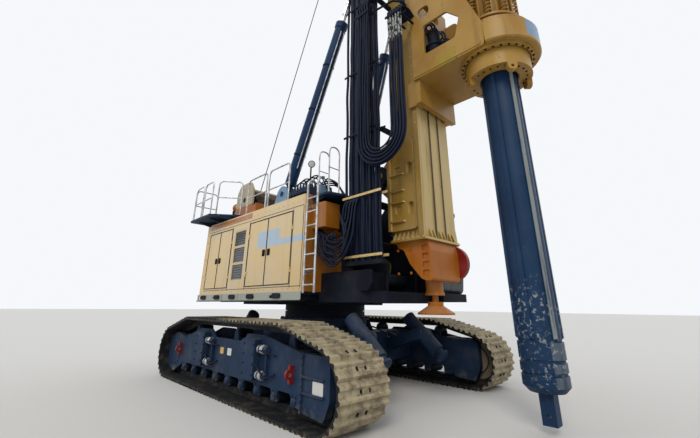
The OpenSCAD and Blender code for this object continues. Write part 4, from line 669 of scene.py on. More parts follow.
def belt_line(spacing=0.01):
    """Points with their outward direction along the shoes' inner faces."""
    pairs = list(zip(CIRCLES, CIRCLES[1:] + CIRCLES[:1]))
    ways = []
    for (x, z, r), (nx, nz, nr) in pairs:
        tilt = math.acos((r - nr) / math.hypot(nx - x, nz - z))
        ways.append(math.atan2(nz - z, nx - x) % (2 * math.pi) - tilt)
    line = []
    for i, ((x, z, r), (nx, nz, nr)) in enumerate(pairs):
        first, last = ways[i - 1] - (2 * math.pi if i == 0 else 0), ways[i]
        steps = max(2, int(abs(last - first) * r / spacing))
        for a in (first + (last - first) * k / steps for k in range(steps)):
            line.append((x + r * math.cos(a), z + r * math.sin(a), a))
        here = x + r * math.cos(last), z + r * math.sin(last)
        there = nx + nr * math.cos(last), nz + nr * math.sin(last)
        steps = int(math.dist(here, there) / spacing)
        for share in (k / steps for k in range(steps)):
            line.append((*(a + (b - a) * share for a, b in zip(here, there)), last))
    return line


belt = belt_line()
lengths = [0.0]
for one, two in zip(belt, belt[1:] + belt[:1]):
    lengths.append(lengths[-1] + math.dist(one[:2], two[:2]))
shoe_count = round(lengths[-1] / SHOE_PITCH)


def on_belt(shoe, share, height):
    """Place on a shoe: its share of the way across and the height over its inner face."""
    want = (shoe + share) / shoe_count * lengths[-1]
    x, z, a = belt[min(range(len(belt)), key=lambda k: abs(lengths[k] - want))]
    out = Vector((math.cos(a), 0, math.sin(a)))
    return Vector((x, 0, z)) + height * out, out


print(shoe_count, "shoes,", round(lengths[-1], 2), "m of belt")

# %% [markdown]
# ## Bolts and mud on the shoes
# A bolt is a turned washer with a turned hexagon head. A lump of mud is a rough
# ball pressed flat on its shoe, with every corner pushed in or out at random.

# %% Bolts and mud on the shoes
SIDES = ((-1, "right"), (1, "left"))
MUD_LUMPS = 230
draw = random.Random(7)
for side, name in SIDES:
    bm = bmesh.new()
    for shoe in range(shoe_count):
        for share in (0.43, 0.52):
            point, out = on_belt(shoe, share, SHOE_T - 0.001)
            bolts(bm, [point + Vector((0, side * TRACK_Y + y, 0)) for y in (-0.085, 0.085)], out, 0.015)
    piece(f"shoe_bolts_{name}", bm, dark, "undercarriage")
    bm = bmesh.new()
    for _ in range(MUD_LUMPS):
        shoe, share = draw.randrange(shoe_count), draw.choice((0.38, 0.44, 0.56, 0.62))
        point, out = on_belt(shoe, share, SHOE_T + draw.uniform(-0.006, 0.004))
        size = Vector((draw.uniform(0.02, 0.05), draw.uniform(0.03, 0.11), draw.uniform(0.008, 0.016)))
        place = facing(point + Vector((0, side * TRACK_Y + draw.uniform(-0.42, 0.42), 0)), out, (0, 1, 0))
        for v in bmesh.ops.create_icosphere(bm, subdivisions=1, radius=1)["verts"]:
            bump = 1 + draw.uniform(-0.25, 0.25)
            v.co = place @ Vector((v.co.y * size.x * bump, v.co.x * size.y * bump, v.co.z * size.z * bump))
    piece(f"mud_{name}", bm, mud_finish, "undercarriage")

# %% [markdown]
# ## Side frames
# Bolts hold the final drive's cover, the idler cover and the rollers' shafts.
# Blank plates and two stickers stand where the real frame carries signs, and
# bright couplings join the widening cylinders beside the crossbeams.

# %% Side frame fittings
BEAM_X = (0.93, -1.23)
ROLLER_COUNT, ROLLER_SPAN = 9, 4.466
SHAFT_CAP = [(0.062, 0), (0.062, 0.018), (0.045, 0.034), (0.022, 0.04), (0, 0.04)]
NUT = [(0.052, 0.09), (0.072, 0.09), (0.076, 0.11), (0.076, 0.15), (0.066, 0.165), (0.052, 0.165)]
COLLAR = [(0.052, 0.0), (0.068, 0.0), (0.068, 0.03), (0.052, 0.03)]
for side, name in SIDES:
    out = (0, side, 0)
    face = side * (TRACK_Y + 0.28)
    cap, boss = face + side * 0.035, face + side * 0.14
    bm = bmesh.new()
    bolts(bm, row((2.429, cap, 0.25), (2.429, cap, 0.93), 8), out, 0.016)
    bolts(bm, [(-WHEEL_X + 0.33 * x, face, WHEEL_Z + 0.30 * z) for x, z in ring(0, 0, 1, 16)], out, 0.016)
    for k in range(ROLLER_COUNT):
        x = -ROLLER_SPAN / 2 + k * ROLLER_SPAN / (ROLLER_COUNT - 1)
        turned(bm, facing((x, face, 0.285), out), SHAFT_CAP)
        bolts(bm, [(x + dx, face, 0.375) for dx in (-0.045, 0.045)], out, 0.013)
    for x in BEAM_X:
        for dx in (-0.13, 0.2):
            bolts(bm, row((x + dx, boss, 0.55), (x + dx, boss, 1.03), 4), out, 0.017)
    piece(f"frame_bolts_{name}", bm, slate, "undercarriage")
    bm = bmesh.new()
    for x in BEAM_X:
        for z in (0.55, 0.96):
            place = facing((x + 0.30, face + side * 0.06, z), (1, 0, 0))
            turned(bm, place, NUT, 20)
            turned(bm, place, COLLAR, 20)
    piece(f"couplings_{name}", bm, bare_steel, "undercarriage")
    bm = bmesh.new()
    for x in BEAM_X:
        for k, z in enumerate((0.62, 0.90)):
            start = Vector((x + 0.24, face + side * 0.02, z))
            bends = ((0, 0, 0), (0.14, side * 0.10, 0.05), (0.34, side * 0.08, -0.08 + 0.1 * k),
                     (0.52, side * 0.005, -0.02))
            hose(bm, 0.016, [start + Vector(bend) for bend in bends])
    piece(f"frame_hoses_{name}", bm, hose_rubber, "undercarriage")
    bm = bmesh.new()
    plate(bm, facing((2.80, face, 0.555), out), 0.24, 0.17, 0.015, 0.006, 0.002)
    plate(bm, facing((-0.02, face, 0.80), out), 0.17, 0.13, 0.012, 0.003, 0.001)
    piece(f"blank_plates_{name}", bm, white_plate, "undercarriage")
    bm = bmesh.new()
    plate(bm, facing((-0.35, face, 0.80), out), 0.15, 0.12, 0.012, 0.003, 0.001)
    piece(f"blank_sticker_{name}", bm, yellow, "undercarriage")

# %% [markdown]
# ## Slewing ring and carbody
# A ring of bolts clamps the slewing ring to the turret, and hoses run from the
# turret to the legs' cylinders.

# %% Ring bolts and carbody hoses
LEG_HOSE = ((1.02, 0.32, 1.25), (1.25, 0.5, 1.22), (1.6, 0.72, 1.02), (1.9, 0.735, 1.0))
bm = bmesh.new()
bolts(bm, [(x, y, 1.42) for x, y in ring(0, 0, 1.08, 40, math.pi / 40)], (0, 0, 1), 0.018)
piece("ring_bolts", bm, dark, "undercarriage")
bm = bmesh.new()
for sx in (-1, 1):
    for sy in (-1, 1):
        hose(bm, 0.018, [(sx * x, sy * y, z) for x, y, z in LEG_HOSE])
piece("carbody_hoses", bm, hose_rubber, "undercarriage")

# %% [markdown]
# ## House doors
# Each door sits in the wall with a black rubber seal round it and closes with a
# sunk paddle latch. The seal is a thin frame on the wall round each opening. The
# latches are on the doors' free edges and swing with them.

# %% Seals and latches
WALL = 1.65
DOORS = {  # side, rear edge, front edge, latch
    "door_right_rear": (-1, -3.73, -3.00, -3.11), "door_right_mid": (-1, -3.00, -2.25, -2.89),
    "door_right_fore": (-1, -1.25, -0.35, -0.46), "door_right_front": (-1, -0.35, 0.69, -0.24),
    "door_left_rear": (1, -3.73, -2.65, -2.76), "door_left_mid": (1, -2.65, -1.56, -2.54),
    "door_left_front": (1, -1.30, -0.20, -0.31),
}


def wall_strips(bm, side, strips, depth, edge):
    """Thin plates on the house wall, each with its middle's x and z, its width and its height."""
    for x, z, width, height in strips:
        place = facing((x, side * (WALL - 0.001), z), (0, side, 0))
        plate(bm, place, width, height, 0.004, depth, edge, 1)


bm = bmesh.new()
for side, rear, front, _ in DOORS.values():
    flat = [((rear + front) / 2, z, front - rear, 0.02) for z in (2.134, 3.756)]
    wall_strips(bm, side, flat + [(x, 2.945, 0.02, 1.634) for x in (rear, front)], 0.010, 0.002)
piece("door_seals", bm, hose_rubber, "upper")
for name, (side, _, _, latch_x) in DOORS.items():
    bm = bmesh.new()
    place = facing((latch_x, side * (WALL + 0.004), 2.905), (0, side, 0))
    plate(bm, place, 0.12, 0.16, 0.02, 0.008, 0.003)
    plate(bm, place @ at(0, -0.015, 0.006), 0.075, 0.10, 0.015, 0.016, 0.005)
    turned(bm, place @ at(0, 0.052, 0.006), [(0.014, 0), (0.014, 0.012), (0.010, 0.014), (0, 0.014)], 12)
    piece(f"latch_{name}", bm, dark, name)

# %% [markdown]
# ## Wall seams and screws
# The fixed wall panels are screwed on. Their joints show as thin dark lines, and
# rows of small screws run beside them.

# %% Seams and screws
SEAM_X = {-1: (0.72, 1.10, -1.28, -2.22), 1: (-1.33, -0.17, 0.30)}
bm, screws = bmesh.new(), bmesh.new()
for side, seams in SEAM_X.items():
    upright = [(x, 2.93, 0.012, 1.76) for x in seams]
    wall_strips(bm, side, upright + [(-1.33, z, 4.88, 0.012) for z in (2.08, 3.83)], 0.004, 0.001)
    for z in (3.94, 2.03):
        bolts(screws, [(-3.70 + k * 0.199, side * WALL, z) for k in range(25)], (0, side, 0), 0.010)
piece("wall_seams", bm, hose_rubber, "upper")
piece("wall_screws", screws, bare_steel, "upper")

# %% [markdown]
# ## Counterweight and rear
# Tie bolts in four columns and two rear lamps finish the counterweight.

# %% Counterweight fittings
LAMP_LENS = [(0.045, 0), (0.043, 0.012), (0.03, 0.02), (0, 0.022)]
bm = bmesh.new()
columns = [(-4.21, y, z) for y in (-1.2, -0.4, 0.4, 1.2) for z in (2.25, 2.75, 3.25, 3.80)]
bolts(bm, columns, (-1, 0, 0), 0.024)
piece("counterweight_bolts", bm, dark, "upper")
bm = bmesh.new()
for y in (-1.35, 1.35):
    place = facing((-4.208, y, 2.05), (-1, 0, 0))
    plate(bm, place, 0.30, 0.12, 0.02, 0.012)
    for dx in (-0.07, 0.07):
        turned(bm, place @ at(dx, 0, 0.012), LAMP_LENS, 20)
piece("rear_lamps", bm, red, "upper")

# %% [markdown]
# ## Rope on the winch
# The hoist rope lies in the drum's grooves as one long helix: a circle walked
# round again and again while it moves along the drum's axis.

# %% Rope on the drum
WINCH_X, WINCH_Z, DRUM_R = -2.59, 4.78, 0.30
TURNS, DRUM_START, DRUM_WAY = 31, -1.00, 1.80
bm = bmesh.new()
coil = ring(WINCH_X, WINCH_Z, DRUM_R + 0.012, 20) * TURNS
sweep(bm, [(x, DRUM_START + DRUM_WAY * k / len(coil), z) for k, (x, z) in enumerate(coil)], 0.026, 6)
piece("drum_rope", bm, rope_wire, "winch")

# %% [markdown]
# ## Winch motor and its valves
# A hydraulic motor with its brake lies behind the drum. It is one turned profile
# on a stand. Two bundles of hoses arch from the valve blocks beside it to the roof.

# %% Winch motor, valve blocks and hoses
ROOF = 4.06
MOTOR = [(0, 0), (0.10, 0), (0.12, 0.02), (0.12, 0.07), (0.155, 0.08), (0.155, 0.12), (0.13, 0.13),
         (0.13, 0.34), (0.155, 0.35), (0.155, 0.42), (0.11, 0.44), (0.11, 0.56), (0, 0.57)]
BLOCKS = [(-3.58, -0.95, 0.10, 0.30, 0.01, 0.58, 0.01), (-3.28, -0.95, 0.10, 0.30, 0.01, 0.58, 0.01),
          (-3.45, -0.62, 0.42, 0.26, 0.02, 0.30, 0.012), (-3.40, -0.25, 0.30, 0.24, 0.02, 0.42, 0.012),
          (-3.45, 0.15, 0.42, 0.30, 0.02, 0.24, 0.012)]
bm = bmesh.new()
lying = facing((-3.72, -0.95, 4.76), (1, 0, 0))
turned(bm, lying, MOTOR, 28)
bolts(bm, [lying @ Vector((x, y, 0.12)) for x, y in ring(0, 0, 0.14, 10)], (1, 0, 0), 0.010)
piece("winch_motor", bm, orange, "upper")
bm = bmesh.new()
for x, y, *size in BLOCKS:
    plate(bm, at(x, y, ROOF + 0.01), *size)
piece("winch_valves", bm, dark, "upper")
bm = bmesh.new()
for k in range(4):
    y = -0.72 + 0.06 * k
    hose(bm, 0.022, [(-3.50, y, 4.36), (-3.52, y, 4.62), (-3.36 + 0.02 * k, y - 0.04, 4.86 + 0.03 * k),
                     (-3.14, y, 4.70), (-3.10, y + 0.05, 4.30), (-3.10, y + 0.06, 4.09)])
for k in range(3):
    y = 0.05 + 0.07 * k
    hose(bm, 0.018, [(-3.45, y, 4.30), (-3.50, y, 4.48), (-3.30, y - 0.1, 4.56), (-3.14, y - 0.2, 4.40),
                     (-3.12, y - 0.22, 4.10)])
piece("winch_hoses", bm, hose_rubber, "upper")

# %% [markdown]
# ## Hydraulics on the roof
# Beside the right backstay stand a bank of seven valves on a manifold and a small
# cabinet. Hoses arch from the valves to the roof and from the cabinet to the front.

# %% Valve bank and cabinet
CAP = [(0.032, 0), (0.032, 0.07), (0.024, 0.08), (0.024, 0.12), (0, 0.12)]
PLUG = [(0.036, 0), (0.036, 0.06), (0.028, 0.07), (0, 0.07)]
VALVE_X = [0.06 + 0.12 * k for k in range(7)]
bm = bmesh.new()
plate(bm, at(0.42, -1.20, ROOF), 0.95, 0.42, 0.02, 0.10, 0.01)
for x in VALVE_X:
    plate(bm, at(x, -1.20, 4.16), 0.105, 0.30, 0.01, 0.26, 0.01)
    for y in (-1.29, -1.11):
        turned(bm, at(x, y, 4.42), CAP, 12)
    turned(bm, facing((x, -1.35, 4.28), (0, -1, 0)), PLUG, 12)
piece("valve_bank", bm, slate, "upper")
bm = bmesh.new()
plate(bm, at(0.45, -0.72, ROOF), 0.60, 0.40, 0.03, 0.52, 0.015)
plate(bm, facing((0.45, -0.925, 4.32), (0, -1, 0)), 0.50, 0.40, 0.02, 0.012)
piece("roof_cabinet", bm, pale_blue, "upper")
bm = bmesh.new()
for k, x in enumerate(VALVE_X):
    shift = 0.03 * (k % 3)
    hose(bm, 0.017, [(x, -1.20, 4.42), (x, -1.20, 4.58 + shift), (x + 0.06, -1.06, 4.72 + shift),
                     (x + 0.10, -0.86, 4.66 + shift), (x + 0.12, -0.60, 4.30), (x + 0.12, -0.44, 4.10)])
for k in range(4):
    y, z = -0.04 * k, 4.62 + 0.045 * k
    hose(bm, 0.019, [(0.10 + 0.14 * k, -0.66, 4.58), (0.14 + 0.16 * k, -0.62, z + 0.06),
                     (0.75, -0.50 - 0.03 * k, z + 0.03), (1.00, y - 0.42, z - 0.16), (1.18, y - 0.40, 4.20),
                     (1.21, y - 0.40, 3.90)])
piece("roof_hoses", bm, hose_rubber, "upper")

# %% [markdown]
# ## Work lamps
# One round lamp stands on a bent post at the front and two on short posts at the
# rear. The glass is a piece of its own, because it has another finish.


# %% Work lamps
def work_lamp(bm, point, way, size):
    """A round lamp with a stepped housing and a rim."""
    steps = [(0, -0.09), (size * 0.45, -0.09), (size * 0.8, -0.06), (size, -0.02), (size, 0.012)]
    turned(bm, facing(point, way), steps + [(size * 0.9, 0.016), (size * 0.88, 0.002), (0, 0.002)], 24)


REAR_WAY = (-0.9, 0, -0.35)
LAMPS = (((1.08, -1.48, 4.86), (0.8, -0.5, -0.35), 0.085), ((-4.17, -1.30, 4.26), REAR_WAY, 0.07),
         ((-4.17, 1.30, 4.26), REAR_WAY, 0.07))
bm, glasses = bmesh.new(), bmesh.new()
sweep(bm, [(0.98, -1.42, ROOF), (0.98, -1.42, 4.80), (1.02, -1.44, 4.86)], 0.018)
for y in (-1.30, 1.30):
    sweep(bm, [(-4.12, y, ROOF), (-4.12, y, 4.22)], 0.014)
for point, way, size in LAMPS:
    work_lamp(bm, point, way, size)
    dome = [(size * 0.86, 0.003), (size * 0.8, 0.012), (size * 0.4, 0.018), (0, 0.02)]
    turned(glasses, facing(point, way), dome, 24)
piece("roof_lamps", bm, dark, "upper")
piece("lamp_glasses", glasses, lamp_glass, "upper")

# %% [markdown]
# ## Exhaust and roof hatch
# The exhaust is a bent pipe on a turned foot. The hatch is a low lid with two
# hinges and a handle.

# %% Exhaust and roof hatch
bm = bmesh.new()
bend = [(-2.95, 1.32, ROOF), (-2.95, 1.32, 4.30), (-2.97, 1.33, 4.52), (-3.06, 1.36, 4.66)]
hose(bm, 0.075, bend, sides=16)
turned(bm, at(-2.95, 1.32, ROOF), [(0.14, 0), (0.14, 0.03), (0.10, 0.05), (0.078, 0.06)], 20)
piece("exhaust", bm, bare_steel, "upper")
bm = bmesh.new()
plate(bm, at(-0.30, 0.10, ROOF), 0.72, 0.62, 0.05, 0.045, 0.012)
for y in (-0.08, 0.28):
    sweep(bm, [(-0.64, y - 0.05, 4.085), (-0.64, y + 0.05, 4.085)], 0.016)
hose(bm, 0.010, [(0.0, 0.02, 4.10), (0.0, 0.02, 4.15), (0.0, 0.18, 4.15), (0.0, 0.18, 4.10)], 4)
piece("roof_hatch", bm, tan, "upper")

# %% [markdown]
# ## Fans on the cooler
# Two grilles of concentric wire rings guard the fans, and six bars cross each.

# %% Fan grilles
FAN_X = -1.285
bm = bmesh.new()
for y in (-0.48, 0.40):
    for radius in (0.08, 0.15, 0.22, 0.29, 0.36):
        wire = [(wx, wy, 4.548) for wx, wy in ring(FAN_X, y, radius, 28)]
        sweep(bm, wire + wire[:1], 0.005, 5)
    for dx, dy in ring(0, 0, 0.37, 12)[:6]:
        sweep(bm, [(FAN_X - dx, y - dy, 4.542), (FAN_X + dx, y + dy, 4.542)], 0.006, 5)
piece("fan_grilles", bm, bare_steel, "upper")

# %% [markdown]
# ## Ladder grab loops
# Two tall loops stand above the ladder, so that a hand finds hold at the roof.

# %% Grab loops
LOOP = ((-1.46, 4.035), (-1.46, 4.80), (-1.46, 4.98), (-1.42, 5.10), (-1.30, 5.14), (-1.20, 5.10),
        (-1.16, 4.98), (-1.16, 4.80), (-1.16, 4.035))
bm = bmesh.new()
for x in (1.35, 1.70):
    hose(bm, 0.017, [(x, y, z) for y, z in LOOP], 5)
    sweep(bm, [(x, -1.46, 4.62), (x, -1.16, 4.62)], 0.012)
piece("grab_loops", bm, bare_steel, "upper")

# %% [markdown]
# ## Deck edge
# Dark oval collars stand round the lashing openings in the deck's pale channel.

# %% Lashing collars
bm = bmesh.new()
for side in (-1, 1):
    for x in (-3.65, -2.75, -1.85, -0.90, 0.25):
        plate(bm, facing((x, side * 1.67, 1.895), (0, side, 0)), 0.34, 0.11, 0.05, 0.014, 0.006)
piece("lashing_collars", bm, dark, "upper")

# %% [markdown]
# ## Hoses along the mast
# Twenty-six hoses run up the mast's right side in staggered rows. Straps, arms and
# two blocks hold them. Each real hose wanders a little between its clamps, so each
# one gets its own gentle waves. They stand for the plain CAD bundle.

# %% Mast hoses
CLAMPS = (2.62, 3.88, 5.35, 7.0, 9.0, 11.0, 11.90)
HOSE_ROWS = (-1.12, -1.065, -1.01)
draw = random.Random(11)
hoses, clamps, straps = bmesh.new(), bmesh.new(), bmesh.new()
for k in range(26):
    x, y = 1.92 + 0.0575 * (k % 17) + 0.074 * (k > 16), HOSE_ROWS[k % 3]
    knots = [(x, y, 2.46)]
    for low, high in zip(CLAMPS, CLAMPS[1:]):
        knots.append((x, y, low))
        for share in (0.33, 0.66):
            dx, dy = draw.uniform(-0.012, 0.012), draw.uniform(-0.02, 0.0)
            knots.append((x + dx, y + dy, low + (high - low) * share))
    hose(hoses, 0.031, knots + [(x, y, CLAMPS[-1])], 4)
for z in CLAMPS:
    made = clamps if z < 5 else straps
    plate(made, facing((2.40, -1.165, z), (0, -1, 0)), 1.10, 0.05, 0.012, 0.016)
    plate(made, facing((2.40, -0.978, z), (0, 1, 0)), 1.10, 0.05, 0.012, 0.010)
    bolts(made, [(1.98 + 0.20 * k, -1.181, z) for k in range(5)], (0, -1, 0), 0.011)
for z in (5.35, 9.0, 10.6):
    plate(straps, facing((2.81, -0.965, z), (0, 1, 0)), 0.10, 0.09, 0.01, 0.468)
for z, height in ((2.450, 0.080), (11.880, 0.120)):
    plate(straps, at(2.38, -1.055, z), 1.04, 0.22, 0.02, height, 0.006)
piece("mast_hoses", hoses, hose_rubber, "mast", stands_for=("hose_bundle",))
piece("hose_clamps", clamps, tan, "mast")
piece("hose_straps", straps, dark, "mast")

# %% [markdown]
# ## Hoses from the deck to the mast
# Where the house ends, a curtain of hoses leaves the front wall, hangs in a bend
# and joins the mast.

# %% Front hoses
bm = bmesh.new()
draw = random.Random(5)
for k in range(14):
    y = -1.40 + 0.045 * (k % 3) + draw.uniform(-0.01, 0.01)
    left, leg, low = 1.24 + 0.042 * k, 2.30 - 0.030 * k, 2.44 + 0.040 * k + draw.uniform(-0.012, 0.012)
    mid = (left + leg) / 2
    hose(bm, 0.020, [
        (1.16, y + 0.1, 3.30), (left, y, 3.16 - 0.012 * k), (left + 0.06, y - 0.02, 2.84 + 0.02 * k),
        (mid - 0.20, y - 0.02, low + 0.10), (mid + 0.06, y, low), (mid + 0.30, y + 0.02, low + 0.14),
        (leg, y + 0.07, low + 0.55), (leg, -1.27 + 0.04 * (k % 3), 3.40),
        (leg, -1.22 + 0.03 * (k % 3), 3.68), (leg, -1.14, 3.84)])
piece("front_hoses", bm, hose_rubber, "upper", "mast")

# %% [markdown]
# ## Hoses of the rotary head
# The head climbs along the mast, so its hoses hang in long loops behind it. The
# loops hang one inside the other, each a little off the next one's line. They
# stand for the plain CAD loops, and flat bars on arms clamp them.

# %% Head hose loops
LOOP_X, LOOP_Z = 3.05, 5.0
loops = bmesh.new()
draw = random.Random(23)


def wander(x, y, z):
    return x + draw.uniform(-0.02, 0.02), y + draw.uniform(-0.02, 0.02), z


for k in range(14):
    radius, y = 0.31 + 0.025 * k, -1.25 + 0.04 * ((k % 3) - 1)
    fore, aft = LOOP_X + radius, LOOP_X - radius
    knots = [(fore, -0.755, 7.98), (fore, -0.95, 8.06), (fore, y + 0.06, 7.98), (fore, y, 7.80)]
    knots += [wander(fore, y, z) for z in (7.0, 6.2, 5.5)]
    knots += [(LOOP_X + dx, y, LOOP_Z - dz) for dx, dz in ring(0, 0, radius, 12)[:7]]
    knots += [wander(aft, y, z) for z in (5.5, 6.3, 7.1, 7.9)]
    knots += [(aft, y, 8.45), (aft, y, 8.70), (LOOP_X - radius * 0.5, y + 0.06, 8.90 - 0.006 * k),
              (3.30, -0.96, 8.86 - 0.012 * k), (3.46, -0.755, 8.74 - 0.03 * k)]
    hose(loops, 0.021, knots, 5, 7)
bm = bmesh.new()
for x, z in ((3.54, 7.79), (2.56, 8.43)):
    for y, way in ((-1.315, -1), (-1.185, 1)):
        plate(bm, facing((x, y, z), (0, way, 0)), 0.48, 0.06, 0.012, 0.014)
    bolts(bm, row((x - 0.18, -1.329, z), (x + 0.18, -1.329, z), 3), (0, -1, 0), 0.012)
sweep(bm, [(2.78, -1.19, 8.43), (3.36, -1.10, 8.43), (3.50, -0.94, 8.43), (3.50, -0.76, 8.43)], 0.028, 6)
for x in (3.44, 3.66):
    sweep(bm, [(x, -1.19, 7.79), (x, -0.76, 7.79)], 0.028, 6)
piece("head_hose_clamps", bm, dark, "rotary_head")
piece("head_hose_loops", loops, splashed_rubber, "rotary_head", stands_for=("hose_loops",))

# %% [markdown]
# ## Motors' hoses
# Each drive motor has two pressure hoses and a thin drain line that run back
# over the sledge.

# %% Motor hoses
MOTOR_Y, PORT_Y = (-0.45, 0.0, 0.45), (-0.07, 0.07)
FITTING = [(0.045, 0), (0.045, 0.03), (0.036, 0.035), (0.036, 0.07), (0.03, 0.08), (0.027, 0.08)]
bm = bmesh.new()
for k, y in enumerate(MOTOR_Y):
    for j, dy in enumerate(PORT_Y):
        top, low_y = 7.66 + 0.10 * j + 0.05 * k, y + dy * 1.7 - 0.10
        hose(bm, 0.026, [(3.99, y + dy, 7.50), (3.98, y + dy, top), (3.86, y + dy * 1.4, top + 0.16),
                         (3.74, y + dy * 1.6 - 0.06, top + 0.02), (3.71, low_y, 7.30), (3.715, low_y, 7.00)])
    hose(bm, 0.013, [(4.10, y, 7.20), (4.16, y + 0.08, 7.36), (4.06, y + 0.16, 7.56),
                     (3.86, y + 0.18, 7.62), (3.735, y + 0.18, 7.40), (3.722, y + 0.18, 7.05)])
piece("motor_hoses", bm, hose_rubber, "rotary_head")
bm = bmesh.new()
for y in MOTOR_Y:
    for dy in PORT_Y:
        turned(bm, at(3.99, y + dy, 7.46), FITTING, 10)
    bolts(bm, [(bx, by, 6.88) for bx, by in ring(3.98, y, 0.165, 8)], (0, 0, 1), 0.013)
piece("motor_fittings", bm, bare_steel, "rotary_head")

# %% [markdown]
# ## Gearbox bolts
# Bolts in close rings hold the fixed flange under the gearbox and the sleeve's
# flange. They are what makes the plain turned shapes read as a gearbox.


# %% Bolt rings on the rotary head
def round_kelly(radius, z, count, first=0.0):
    """Points on a level circle round the kelly's axis."""
    return [(x, y, z) for x, y in ring(KELLY_X, 0, radius, count, first)]


bm = bmesh.new()
bolts(bm, round_kelly(0.66, 6.239, 30), (0, 0, -1), 0.016)
piece("gearbox_bolts", bm, dark, "rotary_head")
bm = bmesh.new()
bolts(bm, round_kelly(0.50, 5.90, 24, 0.1), (0, 0, -1), 0.014)
piece("sleeve_bolts", bm, dark, "sleeve")

# %% [markdown]
# ## Spring pack
# The kelly lands on a ring of coil springs between two plates. Each spring is a
# helix of thick wire on its own, and long tie bolts hold the pack together.

# %% Springs, plates and tie bolts
SPRING_LOW, SPRING_WAY, COILS = 7.136, 0.808, 9
springs, bm = bmesh.new(), bmesh.new()
for z0, z1 in ((7.062, 7.118), (7.962, 8.028)):
    profile = [(0.40, z0), (0.575, z0), (0.58, z0 + 0.006), (0.58, z1 - 0.006), (0.575, z1), (0.40, z1)]
    turned(bm, at(KELLY_X, 0, 0), profile + [(0.40, z0)], 48)
neck = [(0.346, 7.062), (0.39, 7.062), (0.39, 8.14), (0.375, 8.16), (0.346, 8.16), (0.346, 7.062)]
turned(bm, at(KELLY_X, 0, 0), neck, 48)
bolts(bm, round_kelly(0.535, 8.028, 10, math.pi / 10), (0, 0, 1), 0.020)
for x, y, z in round_kelly(0.535, 7.118, 10, math.pi / 10):
    sweep(bm, [(x, y, z), (x, y, 7.962)], 0.016, 10)
for x, y, z in round_kelly(0.488, SPRING_LOW, 10):
    coil = ring(x, y, 0.060, 14) * COILS
    coil.append(coil[0])
    rise = SPRING_WAY / (len(coil) - 1)
    sweep(springs, [(cx, cy, z + rise * k) for k, (cx, cy) in enumerate(coil)], 0.018, 7)
piece("springs", springs, head_tan, "sleeve")
piece("spring_plates", bm, head_tan, "sleeve", stands_for=("spring_pack",))

# %% [markdown]
# ## Ropes
# The hoist rope runs from the winch up to the rear head sheave and over both
# sheaves. It is held taut by the machine, so its runs are straight. The last run,
# down to the kelly, is made further on, with the swivel.

# %% Hoist rope
HEAD_Z, SHEAVE_R, ROPE_R = 20.45, 0.43, 0.014
ROPE_OFF, ROPE_ON = (-2.30, -0.90, 4.95), (2.36, -0.02, 20.40)
bm = bmesh.new()
sweep(bm, [ROPE_OFF, ROPE_ON], ROPE_R)
piece("hoist_rope_rear", bm, rope_wire, "upper", "mast")
bm = bmesh.new()
path = [ROPE_ON]
for x, angles in ((2.79, range(175, 85, -10)), (4.64, range(90, -1, -10))):
    for a in map(math.radians, angles):
        path.append((x + SHEAVE_R * math.cos(a), 0, HEAD_Z + SHEAVE_R * math.sin(a)))
sweep(bm, path, ROPE_R)
piece("hoist_rope_head", bm, rope_wire, "mast")

# %% [markdown]
# ## Crowd ropes
# A pair of ropes that pulls the rotary head up and down runs along the mast's
# front face.

# %% Crowd ropes
bm = bmesh.new()
for y in (-0.17, 0.17):
    sweep(bm, [(3.518, y, 2.96), (3.518, y, 19.85)], ROPE_R)
piece("crowd_ropes", bm, rope_wire, "mast")

# %% [markdown]
# ## Bolts of the mast
# Close rows of bolts hold the rails and the flange between foot and mast, and two
# rows on each side close the joint between the mast's two sections.

# %% Mast bolts
bm, foot = bmesh.new(), bmesh.new()
for side in (-1, 1):
    bolts(bm, row((2.78, side * 0.60, 2.945), (3.50, side * 0.60, 2.945), 7), (0, 0, 1), 0.020)
    bolts(bm, row((3.44, side * 0.585, 5.4), (3.44, side * 0.585, 19.7), 60), (0, side, 0), 0.013)
    joint = [(x, side * 0.5, z) for x in (2.84, 2.98, 3.12, 3.26) for z in (11.40, 11.60)]
    bolts(bm, joint, (0, side, 0), 0.020)
    bolts(foot, [(x, side * 0.5, z) for x in (2.80, 3.10) for z in (2.30, 2.75)], (0, side, 0), 0.020)
piece("mast_bolts", bm, tan, "mast")
piece("foot_bolts", foot, orange, "mast")

# %% [markdown]
# ## Pipes and bands of the backstays
# Two steel pipes run along the front of each barrel to its head, and turned
# bands hold them. All are placed along the line between the stay's two pins.


# %% Backstay fittings
def along_stay(side, reach, out, around):
    """A point beside the stay: metres from the lower pin, out from the axis, angle round it."""
    foot, top = Vector((-0.3, side * 1.2, 4.45)), Vector((2.6, side * 0.75, 12.3))
    way = (top - foot).normalized()
    level_way = way.cross(Vector((0, 1, 0))).normalized()
    other = way.cross(level_way)
    return foot + way * reach + out * (math.cos(around) * level_way + math.sin(around) * other)


PIPE = [(0.75, 0.175), (2.0, 0.175), (3.4, 0.175), (4.6, 0.175), (4.72, 0.165), (4.76, 0.14)]
BAND = [(0.151, 0), (0.163, 0.004), (0.163, 0.046), (0.151, 0.05)]
END_BAND = [(0.152, 0), (0.172, 0.006), (0.172, 0.06), (0.165, 0.07), (0.152, 0.07)]
for side, name in SIDES:
    bm = bmesh.new()
    for a in (-0.35, 0.35):
        sweep(bm, [along_stay(side, reach, out, math.pi + a) for reach, out in PIPE], ROPE_R)
    piece(f"stay_pipes_{name}", bm, bare_steel, f"barrel_{name}")
    bm = bmesh.new()
    way = along_stay(side, 1, 0, 0) - along_stay(side, 0, 0, 0)
    for reach, profile in ((1.1, BAND), (2.4, BAND), (3.7, BAND), (4.96, END_BAND)):
        turned(bm, facing(along_stay(side, reach, 0, 0), way), profile, 28)
    piece(f"stay_bands_{name}", bm, dark, f"barrel_{name}")

